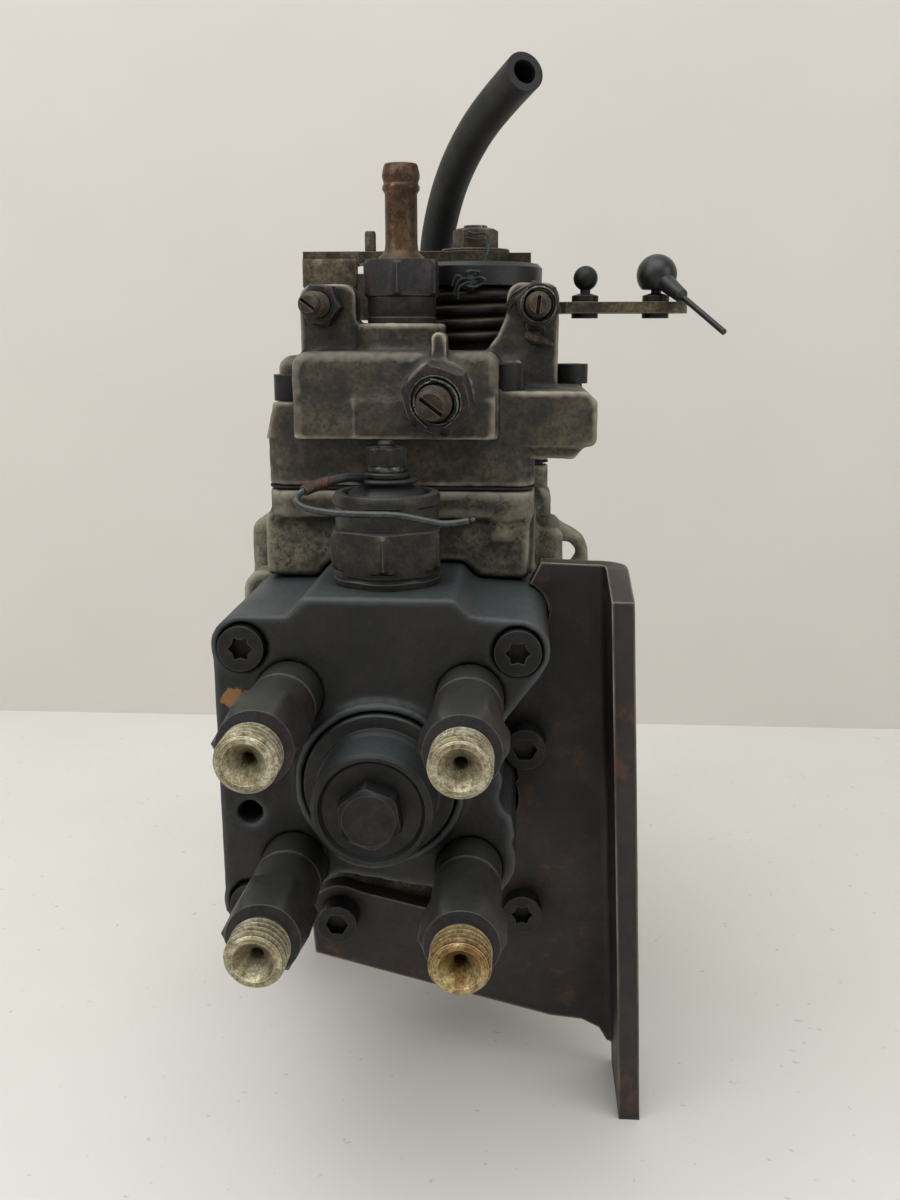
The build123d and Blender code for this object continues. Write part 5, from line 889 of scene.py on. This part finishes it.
NUT_BASE, NUT_FLATS, NUT_HEIGHT, NUT_BORE, NUT_CHAMFER = 65.9, 7.9, 3.9, 1.9, 0.5
LOWER_NUT = [(2.1, 63.25), (4.9, 63.25), (5.1, 63.5), (5.1, 64.3), (4.8, 64.6), (2.1, 64.6)]
TERMINAL_WASHER = [(2.1, 64.65), (4.05, 64.65), (4.15, 65.2), (3.9, 65.85), (2.1, 65.85)]
STRAND_RADIUS = 0.17
STRAND_ENDS = ((0.3, 0.2, 0.35), (0.5, -0.1, 0.1), (0.35, 0.3, -0.2), (0.6, 0.0, 0.3), (0.2, -0.3, 0.45))


def solenoid():
    """The solenoid's case, its insulating cone and its terminal, from the head upwards."""
    turned_piece(
        "solenoid_case", SOLENOID_CASE, SOLENOID, UP, "varnished_zinc", "zinc", "solenoid_body",
        flats=SOLENOID_FLATS, across=Vector((1, 0.04, 0)), segments=120,
    )
    turned_piece(
        "insulating_cone", CONE, SOLENOID, UP, "black_nylon", "plastic", "solenoid_insulator", segments=96
    )
    made = bmesh.new()
    turn(made, STUD, SOLENOID, UP, segments=40)
    place, across = Vector(SOLENOID) + UP * NUT_BASE, Vector((1, 0.35, 0))
    hexagon_nut(made, place, UP, NUT_FLATS, NUT_HEIGHT, NUT_BORE, across, chamfer=NUT_CHAMFER)
    turn(made, LOWER_NUT, SOLENOID, UP)
    fit("terminal_stud_and_nut", made, "oiled_black_screw", "terminal_nut")
    turned_piece("terminal_washer", TERMINAL_WASHER, SOLENOID, UP, "bright_steel", "zinc", segments=64)


def bare_strands():
    """The strands that stick out of the wire's cut end."""
    made = bmesh.new()
    tip = Vector(WIRE_POINTS[-1]) / MM
    inside, middle, root = Vector((-0.5, 0, 0)), Vector((0.35, 0, 0.1)), Vector((0.7, 0, 0.2))
    for end in STRAND_ENDS:
        bent_wire(made, [tip + inside, tip + middle, tip + root + Vector(end)], STRAND_RADIUS)
    fit("bare_strands", made, "bright_steel")


solenoid()
bare_strands()


# ======== fuel inlet
INLET = (0.3, -87.0, 0.0)
INLET_BASE = [
    (6.0, 84.6), (6.0, 96.1), (8.2, 96.1), (8.2, 97.3), (7.9, 97.6), (8.1, 97.9), (8.1, 101.9), (8.9, 102.3),
    (9.8, 102.9), (9.8, 109.6), (8.6, 110.5), (5.4, 110.7), (3.0, 110.7), (3.0, 84.6),
]
INLET_FLATS = 16.8
INLET_PIPE = [
    (3.05, 108.0), (5.6, 110.65), (5.3, 111.2), (4.4, 111.9), (3.95, 112.9), (3.8, 114.5), (3.8, 125.2),
    (4.0, 125.6), (4.35, 126.1), (4.4, 126.8), (4.05, 127.4), (4.1, 127.9), (4.4, 128.8), (4.4, 129.6),
    (4.0, 131.3), (3.75, 131.8), (3.2, 131.9), (2.95, 131.6), (2.95, 108.0),
]

turned_piece(
    "inlet_hexagon", INLET_BASE, INLET, UP, "phosphated_steel", "dark_steel", "inlet_fitting",
    flats=INLET_FLATS, across=Vector((1, -0.02, 0)), segments=96,
)
turned_piece("inlet_pipe", INLET_PIPE, INLET, UP, "aged_brass", "brass")


# ======== set screws, nuts and their locking wire
LOAD_TIP, LOAD_SEAT = Vector((9.75, -121.4, 78.45)), Vector((11.3, -112.25, 80.35))
LEFT_TIP, LEFT_SEAT = Vector((-19.9, -101.0, 100.2)), Vector((-17.9, -90.0, 100.25))
RIGHT_TIP, RIGHT_SEAT = Vector((32.6, -98.0, 100.1)), Vector((32.6, -90.0, 100.3))
SCREW_IN_CASTING, NUT_GAP = 6.0, 0.15
# each is (tip, seat, radius, slot's width, slot's direction)
SET_SCREWS = (
    (LOAD_TIP, LOAD_SEAT, 3.9, 1.0, Vector((1, 0, -0.75))),
    (LEFT_TIP, LEFT_SEAT, 2.95, 0.8, Vector((1, 0, -0.7))),
    (RIGHT_TIP, RIGHT_SEAT, 2.95, 0.9, Vector((0.1, 0, 1))),
)
# each is (tip, seat, width across flats, height, bore radius, direction of a flat)
LOCK_NUTS = (
    (LOAD_TIP, LOAD_SEAT, 14.4, 4.6, 3.7, Vector((1, 0, 0.25))),
    (LEFT_TIP, LEFT_SEAT, 9.0, 3.9, 2.8, Vector((0.8, 0, 0.35))),
    (RIGHT_TIP, RIGHT_SEAT, 9.6, 3.9, 2.8, Vector((0.3, 0, 1))),
)
# each is (tip, seat, distance out from the seat, loop radius, wire radius, turns, rise per turn, first angle)
WIRE_LOOPS = (
    (LOAD_TIP, LOAD_SEAT, 5.0, 4.9, 0.36, 1.7, 0.5, 2.0),
    (LOAD_TIP, LOAD_SEAT, 4.7, 6.1, 0.30, 0.9, 0.2, 3.4),
    (RIGHT_TIP, RIGHT_SEAT, 4.4, 3.9, 0.30, 2.2, 0.35, 0.6),
)
LOOP_STEPS, LOOP_WANDER = 10, 0.35
# each is (wire radius, control points)
LUG_WIRES = (
    (0.26, [
        (25.6, -90.6, 98.2), (25.2, -91.2, 100.4), (27.0, -92.6, 103.0), (31.0, -93.8, 105.0),
        (35.2, -93.6, 104.2), (36.9, -92.6, 101.4),
    ]),
    (0.22, [(25.6, -90.6, 98.2), (27.2, -92.4, 101.6), (31.6, -94.2, 104.3), (34.6, -94.6, 102.6)]),
    (0.26, [(30.2, -93.6, 97.4), (29.4, -92.4, 95.2), (30.6, -91.4, 93.6)]),
    (0.26, [(33.4, -93.8, 97.2), (34.4, -92.6, 95.4), (34.0, -91.2, 93.2)]),
)
LEVER_WIRES = (
    (0.24, [
        (15.2, -69.0, 118.4), (17.6, -70.4, 117.6), (19.8, -71.4, 118.2), (20.9, -72.2, 115.4),
        (19.9, -75.6, 111.6), (18.6, -79.6, 109.0), (17.4, -81.6, 107.4),
    ]),
    (0.22, [
        (14.6, -68.6, 117.2), (17.0, -71.0, 116.2), (20.2, -71.6, 116.6), (20.4, -74.0, 113.0),
        (18.6, -79.0, 108.6), (17.0, -81.4, 107.0),
    ]),
    (0.34, [(16.6, -81.8, 106.4), (14.4, -82.2, 106.8), (12.9, -82.0, 105.4), (12.5, -81.8, 103.2)]),
    (0.34, [(16.2, -81.8, 105.8), (14.0, -82.6, 105.2), (13.2, -82.4, 103.4), (13.4, -82.0, 101.8)]),
    (0.34, [(17.4, -81.8, 106.6), (19.2, -82.4, 107.2), (20.0, -82.2, 106.0)]),
    (0.34, [(15.6, -81.8, 106.8), (15.0, -82.8, 108.0), (16.8, -83.0, 108.4), (18.6, -82.4, 108.0)]),
    (0.34, [(15.0, -81.8, 105.0), (16.6, -83.2, 104.4), (18.4, -82.4, 104.8), (19.4, -81.6, 105.6)]),
    (0.34, [(14.8, -81.6, 106.2), (13.4, -82.0, 107.6), (12.4, -81.8, 106.6), (11.9, -81.6, 104.8)]),
)


# each is (centre, direction of its point, half its length, width and thickness, how crushed it is)
LUG_SEAL = (Vector((32.8, -91.3, 92.3)), Vector((0.9, 0, -0.35)), 3.4, 1.5, 1.1, 0.18)
LEVER_SEAL = (Vector((16.8, -81.2, 105.7)), Vector((1, 0, 0.3)), 2.6, 1.6, 0.8, 0.3)
SEAL_TAPER, SEAL_BLUNT, DENTS = 0.42, 0.4, 2.3  # shares of a seal's half length, and dents along it


def set_screws():
    """The full-load screw and the lever's two stop screws, each with its lock nut."""
    made = bmesh.new()
    for tip, seat, radius, groove, across in SET_SCREWS:
        length = (tip - seat).length + SCREW_IN_CASTING
        slotted_screw(made, tip, tip - seat, radius, length, groove, across)
    fit("slotted_screws", made, "rusted_zinc", "adjusting_screws")
    made = bmesh.new()
    for tip, seat, flats, height, bore, across in LOCK_NUTS:
        out = (tip - seat).normalized()
        hexagon_nut(made, seat + out * NUT_GAP, out, flats, height, bore, across)
    fit("chamfered_lock_nuts", made, "phosphated_steel", "lock_nuts")


def wire_loop(made, centre, axis, radius, wire, turns, rise, start):
    """Adds loops of thin wire round an axis, each a little off the last."""
    side, third = frame_along(axis)
    points = []
    for step in range(int(turns * LOOP_STEPS) + 1):
        angle = start + step * 2 * math.pi / LOOP_STEPS
        reach = radius + LOOP_WANDER * math.sin(angle * 0.63 + 1.1)
        out = side * math.cos(angle) * reach + third * math.sin(angle) * reach
        points.append(centre + out + axis * rise * step / LOOP_STEPS)
    bent_wire(made, points, wire)


def locking_wires():
    """The wire wound on the full-load screw and on the right stop screw, and the seal on the right lug."""
    made = bmesh.new()
    for tip, seat, away, *loop in WIRE_LOOPS:
        out = (tip - seat).normalized()
        wire_loop(made, seat + out * away, out, *loop)
    for radius, points in LUG_WIRES:
        bent_wire(made, points, radius)
    fit("locking_wires", made, "bright_steel", smooth=60)
    made = bmesh.new()
    teardrop(made, *LUG_SEAL)
    fit("lug_seal", made, "rusted_zinc", smooth=60)


def teardrop(made, centre, along, length, width, thick, crush):
    """Adds a crushed drop of soft metal, pointed at one end."""
    along = along.normalized()
    side = along.cross(REAR).normalized()
    ball = bmesh.ops.create_icosphere(made, subdivisions=4, radius=1.0)
    for vertex in ball["verts"]:
        place = vertex.co.copy()
        taper = 1.0 - SEAL_TAPER * max(place.x, -SEAL_BLUNT)
        bump = 1.0 + crush * mathutils.noise.noise(place * DENTS)
        point = along * place.x * length + side * place.y * width * taper + REAR * place.z * thick * taper
        vertex.co = (centre + point * bump) * MM


def lever_seal():
    """The wire that ran through the lever's nut, and the crushed seal and loose ends at its foot."""
    made = bmesh.new()
    for radius, points in LEVER_WIRES:
        bent_wire(made, points, radius)
    fit("lever_locking_wire", made, "crushed_lead", body="control_lever", smooth=60)
    made = bmesh.new()
    teardrop(made, *LEVER_SEAL)
    fit("lever_seal", made, "crushed_lead", body="control_lever", smooth=60)


set_screws()
locking_wires()
lever_seal()


# ======== control lever's details
LEVER_PIN, LEVER_HUB = (-10.6, -60.0, 0), (16.8, -63.0, 0)
PIN_PROFILE = [(0.02, 113.7), (1.45, 113.7), (1.45, 118.9), (1.2, 119.4), (0.02, 119.5)]
HUB_WASHER = [(5.1, 113.85), (8.6, 113.85), (8.7, 114.2), (8.5, 114.5), (5.1, 114.5)]
STUD_PLACES = ((45.0, -63.0, 0), (63.0, -63.0, 0))
STUD_WASHER = [(2.6, 100.15), (4.3, 100.15), (4.5, 100.5), (4.5, 101.1), (4.2, 101.5), (2.6, 101.5)]
ROLL_Y, ROLL_Z, ROLL_RADIUS, ROLL_STEPS = -66.2, 110.1, 3.9, 10
STOP_FOOT = [
    (-70.1, 105.2), (-69.6, 104.9), (-66.4, 104.9), (-66.0, 105.3), (-66.0, 110.2), (-62.0, 110.6),
    (-62.0, 114.0),
]
STOP_LEFT, STOP_RIGHT, STOP_CHAMFER = -26.7, -13.1, 0.35
STOP_TAPER = 0.0315  # how far each end draws in towards the outline's middle, as a share
STOP_MIDDLE = (-66.5, 110.0)


def rolled_stop():
    """The stop rolled from the sheet at the lever's left end, with its two ends chamfered."""
    made = bmesh.new()
    outline = []
    for step in range(ROLL_STEPS + 1):
        angle = math.pi / 2 + step * math.pi / 2 / ROLL_STEPS
        outline.append((ROLL_Y + ROLL_RADIUS * math.cos(angle), ROLL_Z + ROLL_RADIUS * math.sin(angle)))
    outline += STOP_FOOT
    middle_y, middle_z = STOP_MIDDLE
    rows = []
    for x, inset in (
        (STOP_LEFT, STOP_TAPER),
        (STOP_LEFT + STOP_CHAMFER, 0.0),
        (STOP_RIGHT - STOP_CHAMFER, 0.0),
        (STOP_RIGHT, STOP_TAPER),
    ):
        corners = [(x, y + (middle_y - y) * inset, z + (middle_z - z) * inset) for y, z in outline]
        rows.append([made.verts.new(Vector(corner) * MM) for corner in corners])
    for row, following in zip(rows, rows[1:]):
        skin(made, row, following)
    made.faces.new(rows[0])
    made.faces.new(rows[-1])
    fit("rolled_stop", made, "yellow_passivated", body="control_lever")


def lever_details():
    """The lever's pin, its hub's washer and the washers under its two ball studs."""
    made = bmesh.new()
    turn(made, PIN_PROFILE, LEVER_PIN, UP, segments=32)
    turn(made, HUB_WASHER, LEVER_HUB, UP)
    fit("lever_pin_and_washer", made, "yellow_passivated", body="control_lever")
    made = bmesh.new()
    for place in STUD_PLACES:
        turn(made, STUD_WASHER, place, UP, segments=56)
    fit("stud_washers", made, "oiled_black_screw", body="control_lever")


rolled_stop()
lever_details()


# ======== room and light
FLOOR_COLOUR, WALL_COLOUR, CLOUD_COLOUR, DUST_COLOUR = "dddbd6", "d3d0c9", "b9b5ae", "8d8780"
WALL_Y = 164.0
FAR = 3000.0


def plain(name, colour, specks):
    """Matt paint with faint clouds and a few specks of dust."""
    material, tree = new_material(name)
    place = add(tree, "ShaderNodeTexCoord").outputs["Object"]
    inputs = {"Vector": place, "Scale": per_metre(60), "Detail": 3.0, "Roughness": 0.5}
    cloudy = add(tree, "ShaderNodeTexNoise", inputs).outputs["Fac"]
    inputs = {"Vector": place, "Scale": per_metre(3.0), "Detail": 2.0, "Roughness": 0.5}
    dusty = add(tree, "ShaderNodeTexNoise", inputs).outputs["Fac"]
    tint = lay(tree, linear(colour), CLOUD_COLOUR, (cloudy, 0.3, 0.7, 0.0, 0.10))
    tint = lay(tree, tint, DUST_COLOUR, (dusty, 0.72, 0.76, 0.0, specks))
    shader = add(tree, "ShaderNodeBsdfPrincipled", {"Base Color": tint, "Roughness": 0.9})
    add(tree, "ShaderNodeOutputMaterial", {"Surface": shader.outputs[0]})
    return material


def stage_plane(name, corners, material):
    """A flat piece of the room, which isn't part of the pump."""
    made = bmesh.new()
    made.faces.new([made.verts.new(Vector(corner) * MM) for corner in corners])
    mesh = bpy.data.meshes.new(name)
    made.to_mesh(mesh)
    made.free()
    mesh.materials.append(material)
    piece = bpy.data.objects.new(name, mesh)
    bpy.context.collection.objects.link(piece)


def lamp(name, place, aim, size, power):
    """A soft rectangular lamp that faces its aim, with its power in watts."""
    data = bpy.data.lights.new(name, "AREA")
    data.shape = "RECTANGLE"
    data.size, data.size_y = size[0] * MM, size[1] * MM
    data.energy = power
    lit = bpy.data.objects.new(name, data)
    lit.location = Vector(place) * MM
    direction = (Vector(aim) - Vector(place)).normalized()
    lit.rotation_mode = "QUATERNION"
    lit.rotation_quaternion = direction.to_track_quat("-Z", "Y")
    bpy.context.collection.objects.link(lit)


floor_z = cad_low.z / MM
floor_corners = [(-FAR, -FAR, floor_z), (FAR, -FAR, floor_z), (FAR, WALL_Y, floor_z), (-FAR, WALL_Y, floor_z)]
wall_corners = [(-FAR, WALL_Y, floor_z), (FAR, WALL_Y, floor_z), (FAR, WALL_Y, FAR), (-FAR, WALL_Y, FAR)]
stage_plane("floor", floor_corners, plain("floor_paint", FLOOR_COLOUR, 0.3))
stage_plane("wall", wall_corners, plain("wall_paint", WALL_COLOUR, 0.0))

lamp("ceiling", (-150, -430, 900), (0, -60, 0), (1300, 900), 8.0)
lamp("window", (-700, -600, 500), (0, -80, 30), (500, 600), 2.0)
lamp("fill", (700, -500, 350), (0, -80, 30), (500, 500), 1.2)

world = bpy.data.worlds.new("room")
world.use_nodes = True
world.node_tree.nodes.clear()
ambient = add(world.node_tree, "ShaderNodeBackground", {"Color": linear("efeeec"), "Strength": 0.5})
add(world.node_tree, "ShaderNodeOutputWorld", {"Surface": ambient.outputs[0]})
bpy.context.scene.world = world
bpy.context.scene.view_settings.view_transform = "Standard"
